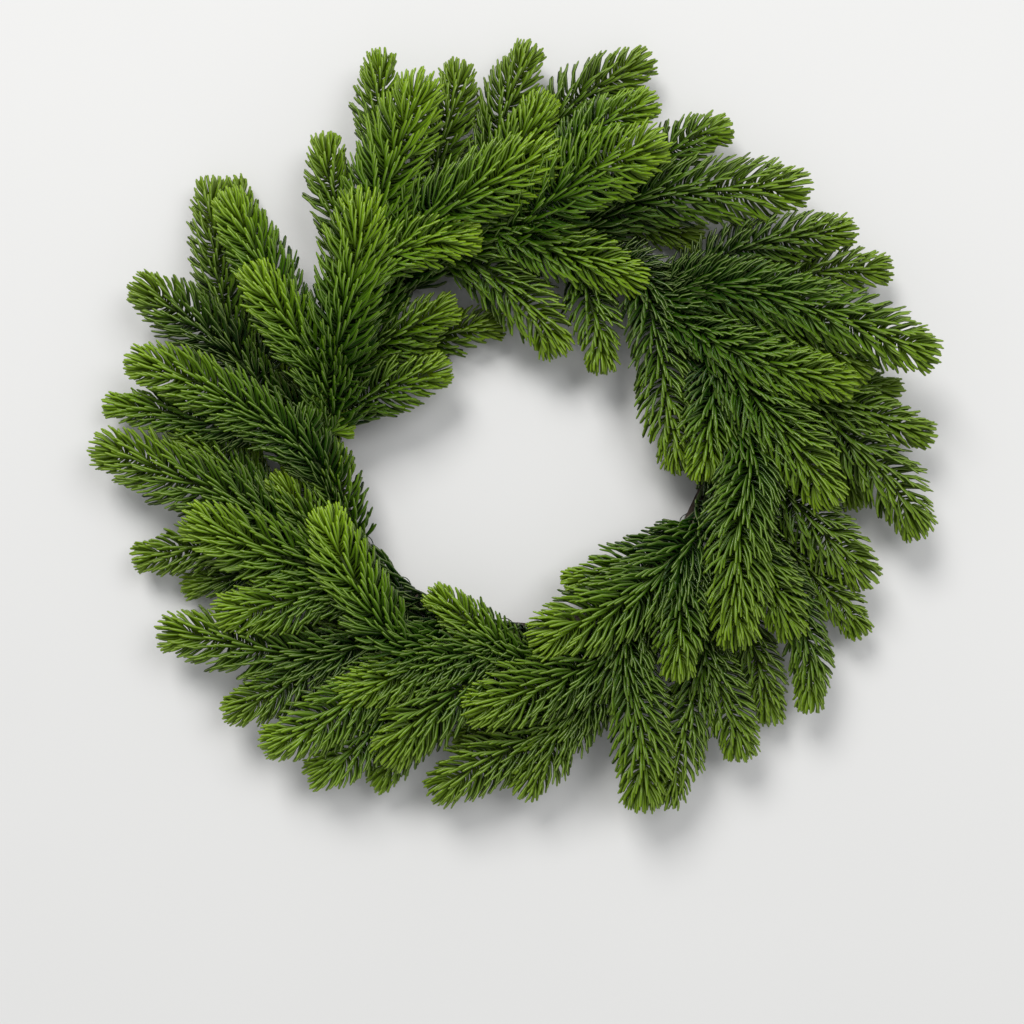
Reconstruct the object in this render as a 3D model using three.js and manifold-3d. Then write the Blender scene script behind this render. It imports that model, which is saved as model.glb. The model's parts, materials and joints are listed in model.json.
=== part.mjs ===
// A fresh evergreen wreath, lying on its back. Three vine canes are twisted into a ring, a binding wire winds
// round it, and 56 sprays of long blunt needles are bound on in bunches and fan out clockwise.
// Millimetres, +Z up and out of the wreath's face, +Y towards its top, origin under the middle of its box.
import * as THREE from "three";
import { mergeVertices } from "three/addons/utils/BufferGeometryUtils.js";
import Module from "manifold-3d";

const wasm = await Module();
wasm.setup();

// The ring of canes.
const RING_RADIUS = 152;
const CANE_COUNT = 3;
const CANE_TWISTS = 7;
const CANE_RADIUS = 3.2;
const LAY_RADIUS = 3.9;
const CANE_STEPS = 56;
const CANE_SIDES = 5;
const FLAT_DEPTH = 0.8;
const BUNDLE_HEIGHT = LAY_RADIUS + CANE_RADIUS - FLAT_DEPTH;
const CUT_THICKNESS = 20;

// The binding wire makes one turn for each bunch and passes below the ring between the canes' lowest places.
const BUNCH_COUNT = CANE_COUNT * CANE_TWISTS;
const WIRE_RADIUS = 0.4;
const WIRE_SIDES = 3;
const WIRE_REACH = [12.3, 12.3, 9.6, 8.4, 5.6, 8.4, 9.6, 12.3];

// The stems.
const STEM_FOOT_RADIUS = 1.6;
const STEM_TIP_RADIUS = 1.2;
const SEAT_GAP = 0.2;
const SEAT_SPREAD = THREE.MathUtils.degToRad(33);
const SEAT_BEHIND_WIRE = 9;
const SEAT_PAST_WIRE = 8;
const SEAT_EXIT = 20;
const EXIT_REACH = 15;
const SEAT_TRIES = 20;
const SEAT_STEP = 1e-4;
const layerHeight = (layer) => 7 + 7.5 * layer + 0.5 * layer ** 2;
const RISEN_BY = [0.55, 0.85];
const TIP_DROOP = 4;
const FIRST_FORK = 6;
const SAMPLE_STEP = 8;
const SETTLE_ROUNDS = 140;
const STEM_SPACING = 7.2;
const CANE_SPACING = 5.4;
const WIRE_SPACING = 3;
const HELD_LENGTH = 30;
const FREEING_LENGTH = 16;
const LOWEST_STEM = 4;

// The needles.
const MOST_NEEDLE = 36;
const LEAST_NEEDLE = 25;
const NEEDLE_PER_HALF_WIDTH = 1.4;
const NEEDLE_FOOT = 3.6;
const NEEDLE_RADIUS = 1.6;
const NEEDLE_TIP_RADIUS = 0.1;
const NEEDLE_GAP = 0.45;
const OWN_GAP = 0.15;
const SHARED_NEEDLE_ROOT = 0.25;
const SHARED_STEM_ROOT = 0.5;
const END_NEEDLE_SHARE = 0.92;
const CELL_SIZE = 16;
const WHORL_STEP = 17;
const HIDDEN_WHORL_STEP = 27;
const VISIBLE_LENGTH = 100;
const WHORL_TWIST = THREE.MathUtils.degToRad(35);
const BARE_FOOT = 40;
const BARE_FORK = 9;
const BARE_STEP = 10;
const LEAST_LEAFY = 8.6;
const PAST_LAST_WHORL = 3;
const FLATTENING = 0.7;
const LEAST_LEAN = 3;
const LEAN_ALONG = [50, 45];
const LEAN_ALTERNATION = 12;
const TIP_CLOSING = 26;
const CLOSING_FROM = 0.7;
const LOWEST_NEEDLE = 1;
const BEND_SCALES = [1, 0.85, 0.7, 0.55];
const BEND_TURNS = [0, 12, -12, 24, -24, 36, -36];
const BEND_LEANS = [0, -7, 7, -14];

// The view that the sprays were measured in: it looks straight down, and its middle is pixel 512, 512.
const MM_PER_PIXEL = 0.8;
const EYE_HEIGHT = 1200;
const VIEW_MIDDLE = 512;
const RING_MIDDLE_PIXEL = [520, 440];

// The clear middle of the wreath, in mm from the ring's middle: [west, south, east, north].
const HOLE_MARGIN = 2;
const HOLE_BOXES = [
  [-92, -104, 63, 42],
  [63, -70, 89, 35],
  [-116, -76, -92, 5],
];

// Each spray: the bunch that binds it, counted clockwise from the top, then its shoots. A shoot is its height
// layer (1 back, 5 front), its half width in pixels, and its line in pixels from foot to tip. The first shoot
// of a spray is the one that is bound to the ring, and the others fork from it near their first point.
const SPRAYS = [
  [0, [3, 25, [[580, 268], [588, 295], [598, 328], [602, 375]]]],
  [0, [3, 33, [[590, 222], [630, 202], [701, 191], [762, 190], [811, 186]]],
    [2, 24, [[612, 209], [650, 168], [697, 136], [734, 128]]]],
  [0, [1, 22, [[585, 225], [620, 215], [660, 228], [704, 242]]]],
  [1, [3, 28, [[640, 275], [648, 300], [659, 350], [670, 420], [684, 474]]]],
  [1, [2, 25, [[655, 285], [720, 298], [800, 275], [850, 270], [893, 270]]],
    [3, 25, [[685, 293], [705, 268], [762, 243], [813, 235], [857, 231]]]],
  [2, [4.8, 26, [[690, 325], [725, 345], [780, 368], [820, 378], [857, 387]]],
    [4, 20, [[722, 344], [770, 345], [820, 355]]]],
  [2, [4, 26, [[695, 298], [735, 300], [790, 328], [830, 350], [873, 376]]]],
  [2, [5, 30, [[705, 285], [765, 293], [830, 315], [872, 330], [906, 345], [940, 358]]]],
  [3, [4.5, 33, [[712, 347], [743, 384], [776, 422], [808, 464], [834, 508]]],
    [4, 28, [[716, 351], [713, 400], [708, 440], [703, 485]]],
    [2, 16, [[710, 345], [694, 352], [684, 370]]]],
  [3, [3, 31, [[740, 365], [780, 385], [830, 422], [876, 466], [902, 499], [922, 538]]],
    [1, 22, [[815, 408], [834, 438], [847, 477], [859, 509]]]],
  [3, [3, 23, [[722, 343], [760, 362], [810, 388], [868, 414], [899, 426], [934, 438]]],
    [2, 20, [[790, 377], [830, 384], [870, 388], [902, 392]]]],
  [4, [5, 34, [[745, 430], [750, 465], [741, 510], [738, 550], [735, 600], [738, 650]]]],
  [4, [2, 24, [[735, 440], [745, 495], [775, 535], [815, 578], [843, 606], [864, 637]]]],
  [4, [3, 30, [[750, 440], [785, 490], [818, 527], [848, 558], [874, 584]]]],
  [5, [4, 29, [[730, 480], [742, 515], [760, 565], [778, 600], [796, 640]]],
    [3, 22, [[755, 545], [783, 582], [804, 630], [811, 672], [808, 713]]]],
  [6, [5, 36, [[700, 528], [688, 545], [645, 587], [610, 609], [570, 627], [527, 640]]],
    [5, 27, [[690, 543], [683, 570], [682, 600], [679, 640], [678, 682]]],
    [3, 25, [[694, 536], [670, 547], [640, 561], [600, 576], [562, 587]]]],
  [6, [2, 24, [[722, 555], [738, 605], [754, 650], [764, 685], [773, 725]]]],
  [7, [4, 31, [[655, 595], [630, 625], [625, 660], [638, 710], [643, 760], [641, 812]]]],
  [7, [3, 26, [[698, 600], [700, 660], [688, 718], [676, 765], [663, 808]]]],
  [7, [3, 27, [[692, 600], [698, 645], [716, 682], [733, 720], [743, 762]]]],
  [8, [4.45, 34, [[620, 645], [580, 670], [540, 686], [500, 700], [461, 712]]]],
  [8, [3, 30, [[622, 650], [588, 699], [545, 733], [500, 754], [460, 775], [431, 799]]],
    [2, 24, [[602, 682], [550, 710], [500, 728], [453, 745]]]],
  [8, [3, 28, [[630, 635], [612, 668], [568, 722], [543, 760], [517, 796]]]],
  [9, [4, 24, [[570, 650], [530, 662], [490, 640], [458, 613], [426, 591]]]],
  [10, [4.4, 26, [[520, 637], [480, 650], [410, 672], [370, 685], [336, 695]]]],
  [10, [4, 34, [[505, 657], [470, 682], [430, 710], [405, 735], [381, 764]]],
    [2, 22, [[460, 690], [428, 720], [396, 758], [374, 789]]]],
  [11, [2, 25, [[430, 620], [400, 627], [350, 634], [310, 642], [272, 655]]],
    [3, 26, [[360, 632], [325, 652], [290, 682], [255, 702], [222, 713]]]],
  [11, [5, 30, [[438, 645], [405, 648], [378, 618], [362, 592], [340, 555], [323, 504]]]],
  [11, [4, 30, [[435, 655], [380, 682], [330, 715], [295, 735], [260, 742]]],
    [3, 28, [[420, 665], [392, 705], [362, 741], [335, 764], [305, 776]]]],
  [12, [4, 34, [[375, 584], [320, 568], [270, 552], [230, 536], [182, 516]]]],
  [12, [4, 30, [[380, 594], [330, 590], [290, 600], [250, 609], [212, 613]]]],
  [12, [3, 30, [[395, 625], [350, 650], [300, 655], [230, 643], [190, 634], [157, 635]]]],
  [13, [2.5, 24, [[358, 556], [352, 538], [339, 490], [329, 455], [320, 426]]]],
  [13, [3, 26, [[348, 560], [325, 545], [295, 500], [272, 472]]]],
  [13, [3, 32, [[335, 545], [305, 535], [270, 520], [225, 495], [180, 478], [120, 453], [91, 451]]],
    [2, 24, [[290, 528], [275, 510], [245, 480], [215, 455], [172, 425]]],
    [1, 16, [[265, 518], [255, 480], [250, 440]]]],
  [13, [2, 25, [[335, 570], [290, 560], [250, 549], [210, 546], [170, 553], [132, 559]]],
    [1, 18, [[280, 558], [250, 572], [205, 583], [183, 588]]]],
  [14, [1, 24, [[325, 480], [303, 455], [292, 430], [287, 390], [283, 345]]]],
  [14, [4, 28, [[325, 475], [300, 446], [250, 411], [200, 384], [160, 368], [125, 360]]],
    [2, 20, [[270, 424], [230, 425], [200, 420], [150, 410], [103, 405]]],
    [4, 16, [[300, 446], [312, 412], [324, 385]]],
    [3, 16, [[313, 457], [328, 430], [355, 428]]]],
  [15, [3, 27, [[338, 427], [350, 406], [382, 390], [420, 377], [452, 365]]]],
  [15, [5, 29, [[332, 410], [320, 368], [287, 320], [265, 290], [247, 263]]],
    [4, 29, [[310, 354], [297, 335], [276, 290], [246, 233], [223, 190]]]],
  [15, [2, 25, [[318, 430], [270, 395], [242, 362], [225, 310], [215, 240], [210, 176]]],
    [1, 22, [[255, 380], [262, 345], [262, 300], [247, 230], [231, 177]]],
    [3, 31, [[245, 368], [218, 342], [183, 315], [153, 295], [131, 285]]]],
  [16, [1, 25, [[360, 372], [400, 354], [450, 333], [480, 327], [507, 327]]]],
  [16, [3, 27, [[348, 372], [370, 348], [400, 333], [430, 316], [460, 304]]],
    [2, 20, [[360, 360], [385, 356], [410, 353], [440, 347]]]],
  [16, [5, 27, [[348, 355], [348, 310], [360, 277], [391, 253], [432, 242], [484, 236]]]],
  [16, [5.4, 35, [[335, 375], [335, 355], [347, 300], [359, 240], [364, 187]]]],
  [17, [4.5, 37, [[368, 300], [370, 260], [375, 215], [395, 155], [412, 110], [427, 72]]]],
  [17, [3, 25, [[355, 315], [352, 275], [336, 205], [328, 170], [325, 132]]]],
  [18, [3, 30, [[420, 262], [446, 250], [480, 266], [511, 290], [541, 320], [562, 358]]]],
  [18, [4.7, 36, [[407, 262], [418, 228], [438, 212], [483, 187], [524, 167], [565, 152]]]],
  [18, [2, 27, [[410, 265], [423, 215], [440, 150], [455, 100], [460, 60]]]],
  [18, [3, 25, [[392, 262], [388, 215], [381, 130], [379, 90], [381, 50]]]],
  [19, [3.6, 28, [[460, 240], [488, 225], [544, 246], [587, 260], [648, 286]]]],
  [19, [3.8, 28, [[480, 215], [508, 165], [532, 125], [549, 93]]]],
  [19, [2, 28, [[465, 225], [486, 175], [507, 105], [518, 75], [533, 43]]]],
  [20, [4.6, 40, [[515, 230], [537, 212], [581, 177], [615, 161], [668, 140]]],
    [4, 25, [[552, 203], [570, 155], [600, 125], [659, 100]]]],
  [20, [2, 29, [[500, 215], [522, 170], [555, 122], [579, 97], [615, 77], [653, 57]]]],
];

const UP = new THREE.Vector3(0, 0, 1);
const FULL_TURN = 2 * Math.PI;
const BUNCH_PITCH = FULL_TURN / BUNCH_COUNT;
const { lerp, clamp, smoothstep } = THREE.MathUtils;

const MATERIALS = {
  cane: { color: "#3b2c20", roughness: 0.85, metalness: 0 },
  wire: { color: "#36432c", roughness: 0.45, metalness: 0.6 },
  1: { color: "#24401c", roughness: 0.6, metalness: 0 },
  2: { color: "#2f5320", roughness: 0.6, metalness: 0 },
  3: { color: "#3c6b22", roughness: 0.58, metalness: 0 },
  4: { color: "#4a7d24", roughness: 0.55, metalness: 0 },
  5: { color: "#5d9126", roughness: 0.55, metalness: 0 },
};

// A place on the ring: turn runs clockwise from the top, around runs from straight up towards the outside.
function bundlePoint(turn, around, reach) {
  const out = RING_RADIUS + reach * Math.sin(around);
  const height = BUNDLE_HEIGHT + reach * Math.cos(around);
  return new THREE.Vector3(out * Math.sin(turn), out * Math.cos(turn), height);
}

// A pixel of the view, at a height above the surface, in mm from the ring's middle.
function place(pixelX, pixelY, height) {
  const near = (above) => MM_PER_PIXEL * (1 - above / EYE_HEIGHT);
  const middleX = (RING_MIDDLE_PIXEL[0] - VIEW_MIDDLE) * near(BUNDLE_HEIGHT);
  const middleY = (VIEW_MIDDLE - RING_MIDDLE_PIXEL[1]) * near(BUNDLE_HEIGHT);
  const x = (pixelX - VIEW_MIDDLE) * near(height) - middleX;
  const y = (VIEW_MIDDLE - pixelY) * near(height) - middleY;
  return new THREE.Vector3(x, y, height);
}

// The corners of one cross-section of a tube.
function section(centre, tangent, towards, radius, sides, spin) {
  const up = towards.clone().addScaledVector(tangent, -towards.dot(tangent)).normalize();
  const side = new THREE.Vector3().crossVectors(tangent, up);
  const corners = [];
  for (let k = 0; k < sides; k++) {
    const angle = spin + (FULL_TURN * k) / sides;
    const corner = centre.clone().addScaledVector(up, radius * Math.cos(angle));
    corners.push(corner.addScaledVector(side, radius * Math.sin(angle)));
  }
  return { corners, centre, tangent, up, side, radius };
}

// The two triangles of each face between two neighbouring sections, as [section, corner] pairs.
function facesBetween(sides, from, to) {
  const faces = [];
  for (let k = 0; k < sides; k++) {
    const next = (k + 1) % sides;
    faces.push([[from, k], [from, next], [to, k]]);
    faces.push([[from, next], [to, next], [to, k]]);
  }
  return faces;
}

function solidFromArrays(vertProperties, triVerts) {
  return new wasm.Manifold(new wasm.Mesh({ numProp: 3, vertProperties, triVerts }));
}

function solidFrom(points, faces) {
  const vertProperties = new Float32Array(points.flatMap((point) => point.toArray()));
  return solidFromArrays(vertProperties, new Uint32Array(faces.flat()));
}

function solidFromGeometry(geometry) {
  const merged = mergeVertices(geometry.deleteAttribute("normal").deleteAttribute("uv"));
  return solidFromArrays(merged.getAttribute("position").array, new Uint32Array(merged.getIndex().array));
}

// A tube whose line closes on itself, such as a cane or the binding wire.
function closedTube(line, middles, radius, sides) {
  const count = line.length;
  const sections = line.map((centre, i) => {
    const tangent = line[(i + 1) % count].clone().sub(line[(i + count - 1) % count]).normalize();
    return section(centre, tangent, centre.clone().sub(middles[i]), radius, sides, 0);
  });
  const faces = sections.flatMap((_, i) => facesBetween(sides, i, (i + 1) % count));
  const indexed = faces.map((face) => face.map(([s, k]) => s * sides + k));
  return solidFrom(sections.flatMap((s) => s.corners), indexed);
}

function meshFrom(solid, name, finish) {
  const mesh = solid.getMesh();
  const geometry = new THREE.BufferGeometry();
  geometry.setAttribute("position", new THREE.BufferAttribute(mesh.vertProperties, 3));
  geometry.setIndex(new THREE.BufferAttribute(mesh.triVerts, 1));
  geometry.computeVertexNormals();
  const made = new THREE.Mesh(geometry, new THREE.MeshStandardMaterial(MATERIALS[finish]));
  made.name = name;
  return made;
}

function caneLine(cane) {
  const line = [];
  const middles = [];
  for (let i = 0; i < CANE_STEPS; i++) {
    const turn = (FULL_TURN * i) / CANE_STEPS;
    const around = Math.PI + (FULL_TURN * cane) / CANE_COUNT + CANE_TWISTS * turn;
    line.push(bundlePoint(turn, around, LAY_RADIUS));
    middles.push(bundlePoint(turn, 0, 0));
  }
  return { line, middles };
}

function wireLine() {
  const line = [];
  const middles = [];
  const steps = WIRE_REACH.length;
  for (let i = 0; i < BUNCH_COUNT * steps; i++) {
    const turn = (BUNCH_PITCH * i) / steps;
    line.push(bundlePoint(turn, (FULL_TURN * i) / steps, WIRE_REACH[i % steps]));
    middles.push(bundlePoint(turn, 0, 0));
  }
  return { line, middles };
}

// The nearest places of two straight stretches: how far apart, and how far along each.
function nearest(a, b, c, d) {
  const ab = b.clone().sub(a);
  const cd = d.clone().sub(c);
  const ca = a.clone().sub(c);
  const aa = ab.lengthSq();
  const cc = cd.lengthSq();
  const ac = ab.dot(cd);
  const da = ab.dot(ca);
  const dc = cd.dot(ca);
  const spread = aa * cc - ac * ac;
  let s = spread > 1e-9 ? clamp((ac * dc - cc * da) / spread, 0, 1) : 0;
  let t = (ac * s + dc) / cc;
  if (t < 0 || t > 1) {
    t = clamp(t, 0, 1);
    s = clamp((ac * t - da) / aa, 0, 1);
  }
  const gap = ca.addScaledVector(ab, s).addScaledVector(cd, -t).length();
  return { gap, s, t };
}

// Everything that is already placed, as tapering rods sorted into cells, so that only near ones are compared.
class Thicket {
  constructor(cellSize) {
    this.cellSize = cellSize;
    this.cells = new Map();
  }

  keys(from, to, margin) {
    const low = from.clone().min(to).subScalar(margin).divideScalar(this.cellSize).floor();
    const high = from.clone().max(to).addScalar(margin).divideScalar(this.cellSize).floor();
    const keys = [];
    for (let x = low.x; x <= high.x; x++) {
      for (let y = low.y; y <= high.y; y++) {
        for (let z = low.z; z <= high.z; z++) keys.push(`${x},${y},${z}`);
      }
    }
    return keys;
  }

  add(rod) {
    for (const key of this.keys(rod.from, rod.to, Math.max(rod.thick, rod.thin))) {
      if (!this.cells.has(key)) this.cells.set(key, []);
      this.cells.get(key).push(rod);
    }
  }

  near(rod) {
    const found = new Set();
    for (const key of this.keys(rod.from, rod.to, rod.thick + 1)) {
      for (const other of this.cells.get(key) ?? []) found.add(other);
    }
    return found;
  }
}

const thicket = new Thicket(CELL_SIZE);

function addLine(line, radius, kind) {
  line.forEach((from, i) => {
    thicket.add({ from, to: line[(i + 1) % line.length], thick: radius, thin: radius, kind });
  });
}

// How far from the bundle's middle a stem's middle lies when it rests on the canes.
function seatReach(turn, around) {
  const needed = CANE_RADIUS + STEM_FOOT_RADIUS + SEAT_GAP;
  let inside = LAY_RADIUS;
  let outside = EXIT_REACH;
  for (let i = 0; i < SEAT_TRIES; i++) {
    const middle = (inside + outside) / 2;
    const point = bundlePoint(turn, around, middle);
    const next = bundlePoint(turn + SEAT_STEP, around, middle);
    const touches = caneRods.some((rod) => nearest(point, next, rod.from, rod.to).gap < needed);
    if (touches) inside = middle;
    else outside = middle;
  }
  return outside;
}

const canes = [0, 1, 2].map(caneLine);
const wire = wireLine();
const caneRods = canes.flatMap(({ line }) =>
  line.map((from, i) => ({ from, to: line[(i + 1) % line.length] })),
);

// The foot of a spray lies on the canes, below the wire, then leaves the ring between two turns of the wire.
function footOf(bunch, slot) {
  const crossing = BUNCH_PITCH * (bunch + slot / FULL_TURN);
  const onCanes = [-SEAT_BEHIND_WIRE, 0, SEAT_PAST_WIRE].map((along) => {
    const turn = crossing + along / RING_RADIUS;
    return bundlePoint(turn, slot, seatReach(turn, slot));
  });
  return [...onCanes, bundlePoint(crossing + SEAT_EXIT / RING_RADIUS, slot, EXIT_REACH)];
}

// A shoot's line climbs from the ring, or from its fork, to the height of its layer and droops at its tip.
function risingLine(layer, pixels, start) {
  return pixels.map(([x, y], i) => {
    const droop = i === pixels.length - 1 ? TIP_DROOP : 0;
    return place(x, y, lerp(start, layerHeight(layer), RISEN_BY[i] ?? 1) - droop);
  });
}

function evenly(points, step) {
  const curve = new THREE.CatmullRomCurve3(points, false, "centripetal");
  return curve.getSpacedPoints(Math.max(2, Math.round(curve.getLength() / step)));
}

function startShoots() {
  const shoots = [];
  SPRAYS.forEach(([bunch, main, ...sides], spray) => {
    const mates = SPRAYS.map((other, i) => [other[0], i]).filter(([other]) => other === bunch);
    const slot = (mates.findIndex(([, i]) => i === spray) - (mates.length - 1) / 2) * SEAT_SPREAD;
    const foot = footOf(bunch, slot);
    const [layer, halfWidth, pixels] = main;
    const stem = { spray, layer, halfWidth, slot, parent: null };
    stem.samples = evenly([...foot, ...risingLine(layer, pixels, foot.at(-1).z)], SAMPLE_STEP);
    shoots.push(stem);
    for (const [sideLayer, sideWidth, sidePixels] of sides) {
      const wanted = place(...sidePixels[0], layerHeight(sideLayer));
      const distances = stem.samples.map((p) => Math.hypot(p.x - wanted.x, p.y - wanted.y));
      const forkIndex = Math.max(FIRST_FORK, distances.indexOf(Math.min(...distances)));
      const fork = stem.samples[forkIndex];
      const line = [fork, ...risingLine(sideLayer, sidePixels.slice(1), fork.z)];
      const samples = evenly(line, SAMPLE_STEP);
      shoots.push({ spray, layer: sideLayer, halfWidth: sideWidth, parent: stem, forkIndex, samples });
    }
  });
  return shoots;
}

// Stems that would run through each other, or through the ring, are eased apart, a little in each round.
function settle(shoots) {
  const lines = [...canes.map(({ line }) => [line, CANE_SPACING]), [wire.line, WIRE_SPACING]];
  const walls = lines.flatMap(([line, gap]) =>
    line.flatMap((from, i) => {
      const to = line[(i + 1) % line.length];
      return [0, 0.25, 0.5, 0.75].map((t) => ({ point: from.clone().lerp(to, t), gap }));
    }),
  );
  const apart = new THREE.Vector3();
  for (let round = 0; round < SETTLE_ROUNDS; round++) {
    for (const shoot of shoots) {
      shoot.moves = shoot.samples.map(() => new THREE.Vector3());
      shoot.box = new THREE.Box3().setFromPoints(shoot.samples).expandByScalar(STEM_SPACING / 2);
    }
    shoots.forEach((one, i) => {
      for (const two of shoots.slice(i + 1)) {
        if (one.spray === two.spray || !one.box.intersectsBox(two.box)) continue;
        one.samples.forEach((p, a) => {
          two.samples.forEach((q, b) => {
            apart.subVectors(p, q);
            const gap = apart.length();
            if (gap >= STEM_SPACING) return;
            if (Math.abs(apart.z) < 1) apart.z = one.layer >= two.layer ? 1 : -1;
            apart.setLength((STEM_SPACING - gap) / 2);
            one.moves[a].add(apart);
            two.moves[b].sub(apart);
          });
        });
      }
      one.samples.forEach((p, a) => {
        for (const wall of walls) {
          apart.subVectors(p, wall.point);
          const gap = apart.length();
          if (gap < wall.gap) one.moves[a].add(apart.setLength(wall.gap - gap));
        }
      });
    });
    for (const shoot of shoots) {
      const { samples, moves, parent } = shoot;
      const smooth = moves.map((move, i) => {
        const before = moves[Math.max(0, i - 1)];
        const after = moves[Math.min(moves.length - 1, i + 1)];
        return move.clone().multiplyScalar(2).add(before).add(after).divideScalar(4);
      });
      samples.forEach((p, i) => {
        const held = parent ? 0 : HELD_LENGTH;
        const freedom = smoothstep(i * SAMPLE_STEP, held, held + FREEING_LENGTH);
        p.addScaledVector(smooth[i], freedom);
        if (freedom > 0) p.z = Math.max(p.z, LOWEST_STEM);
      });
      if (parent) samples[0].copy(parent.samples[shoot.forkIndex]);
    }
  }
}

// The sections of a shoot's stem: bare ones at its foot, then a pair for each whorl of needles.
function buildStem(shoot) {
  const curve = new THREE.CatmullRomCurve3(shoot.samples, false, "centripetal");
  curve.arcLengthDivisions = 400;
  const fullLength = curve.getLength();
  const halfWidth = shoot.halfWidth * MM_PER_PIXEL;
  shoot.needle = clamp(halfWidth * NEEDLE_PER_HALF_WIDTH, LEAST_NEEDLE, MOST_NEEDLE);
  const bare = shoot.parent ? BARE_FORK : BARE_FOOT;
  const length = clamp(fullLength - shoot.needle * END_NEEDLE_SHARE, bare + LEAST_LEAFY, fullLength - 1);
  const visibleFrom = length - VISIBLE_LENGTH + shoot.needle;
  const stops = [];
  for (let at = 0; at < bare - 1; at += BARE_STEP) stops.push({ at, whorl: false });
  let at = bare;
  while (at < length - NEEDLE_FOOT - PAST_LAST_WHORL) {
    stops.push({ at, whorl: true }, { at: at + NEEDLE_FOOT, whorl: false });
    at += at < visibleFrom ? HIDDEN_WHORL_STEP : WHORL_STEP;
  }
  stops.push({ at: length, whorl: false });
  let spin = 0;
  shoot.stops = stops;
  shoot.length = length;
  shoot.sections = stops.map((stop, i) => {
    const u = stop.at / fullLength;
    const centre = curve.getPointAt(u);
    const tangent = curve.getTangentAt(u);
    const radius = lerp(STEM_FOOT_RADIUS, STEM_TIP_RADIUS, u);
    if (i === 0 && !shoot.parent) spin = footSpin(centre, tangent);
    if (i > 0 && !stops[i - 1].whorl && stop.at > bare) spin += WHORL_TWIST;
    return section(centre, tangent, UP, radius, 3, spin);
  });
  shoot.sections.slice(1).forEach((to, i) => {
    const from = shoot.sections[i];
    thicket.add({
      from: from.centre, to: to.centre, thick: from.radius, thin: to.radius, kind: "stem", shoot,
    });
  });
}

// Turns a stem's foot so that one corner of its section points at the middle of the ring's bundle.
function footSpin(centre, tangent) {
  const { up, side } = section(centre, tangent, UP, 1, 3, 0);
  const middle = centre.clone().setZ(0).setLength(RING_RADIUS).setZ(BUNDLE_HEIGHT);
  const towards = middle.sub(centre);
  return Math.atan2(towards.dot(side), towards.dot(up));
}

const inHole = ({ x, y }) =>
  HOLE_BOXES.some(([west, south, east, north]) =>
    x > west - HOLE_MARGIN && x < east + HOLE_MARGIN && y > south - HOLE_MARGIN && y < north + HOLE_MARGIN);

// A rod without the first share of its length.
function withoutRoot(rod, share) {
  return { ...rod, from: rod.from.clone().lerp(rod.to, share), thick: lerp(rod.thick, rod.thin, share) };
}

// Whether a needle keeps clear of all that is placed. Near its root it may come close to its own shoot.
function isClear(rod) {
  for (const placed of thicket.near(rod)) {
    let [own, other] = [rod, placed];
    if (placed.shoot === rod.shoot) {
      own = withoutRoot(rod, placed.kind === "stem" ? SHARED_STEM_ROOT : SHARED_NEEDLE_ROOT);
      if (placed.kind === "needle") other = withoutRoot(placed, SHARED_NEEDLE_ROOT);
    }
    const { gap, s, t } = nearest(own.from, own.to, other.from, other.to);
    const thickness = lerp(own.thick, own.thin, s) + lerp(other.thick, other.thin, t);
    if (gap < thickness + (own === rod ? NEEDLE_GAP : OWN_GAP)) return false;
  }
  return true;
}

const BENDS = BEND_SCALES.flatMap((scale) =>
  BEND_TURNS.flatMap((turn) => BEND_LEANS.map((lean) => ({ scale, turn, lean }))));

// Where a needle's tip goes, leaning from the stem's line by so many degrees, or null where no bend is clear.
function needleTip(shoot, { tangent, up, side }, root, angle, lean) {
  for (const bend of BENDS) {
    const leaning = THREE.MathUtils.degToRad(Math.max(LEAST_LEAN, lean + bend.lean));
    const round = angle + THREE.MathUtils.degToRad(bend.turn);
    const reach = shoot.needle * bend.scale;
    const tip = root.clone().addScaledVector(tangent, reach * Math.cos(leaning));
    tip.addScaledVector(side, reach * Math.sin(leaning) * Math.cos(round));
    tip.addScaledVector(up, reach * Math.sin(leaning) * Math.sin(round) * FLATTENING);
    tip.z = Math.max(tip.z, LOWEST_NEEDLE);
    if (inHole(tip) || inHole(root.clone().lerp(tip, 0.5))) continue;
    const rod = {
      from: root, to: tip, thick: NEEDLE_RADIUS, thin: NEEDLE_TIP_RADIUS, kind: "needle", shoot,
    };
    if (!isClear(rod)) continue;
    thicket.add(rod);
    return tip;
  }
  return null;
}

// A whorl's needles lean wide and close in turn, and all of them close in towards the end of the shoot.
function whorlTip(shoot, whorl, corners, wide) {
  const own = shoot.sections[whorl];
  const along = shoot.stops[whorl].at / shoot.length;
  const spread = lerp(...LEAN_ALONG, along) - TIP_CLOSING * smoothstep(along, CLOSING_FROM, 1);
  const root = corners[0].clone().add(corners[1]).add(corners[2]).divideScalar(3);
  const away = root.clone().sub(own.centre);
  const angle = Math.atan2(away.dot(own.up), away.dot(own.side));
  return needleTip(shoot, own, root, angle, spread + (wide ? LEAN_ALTERNATION : -LEAN_ALTERNATION));
}

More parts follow.
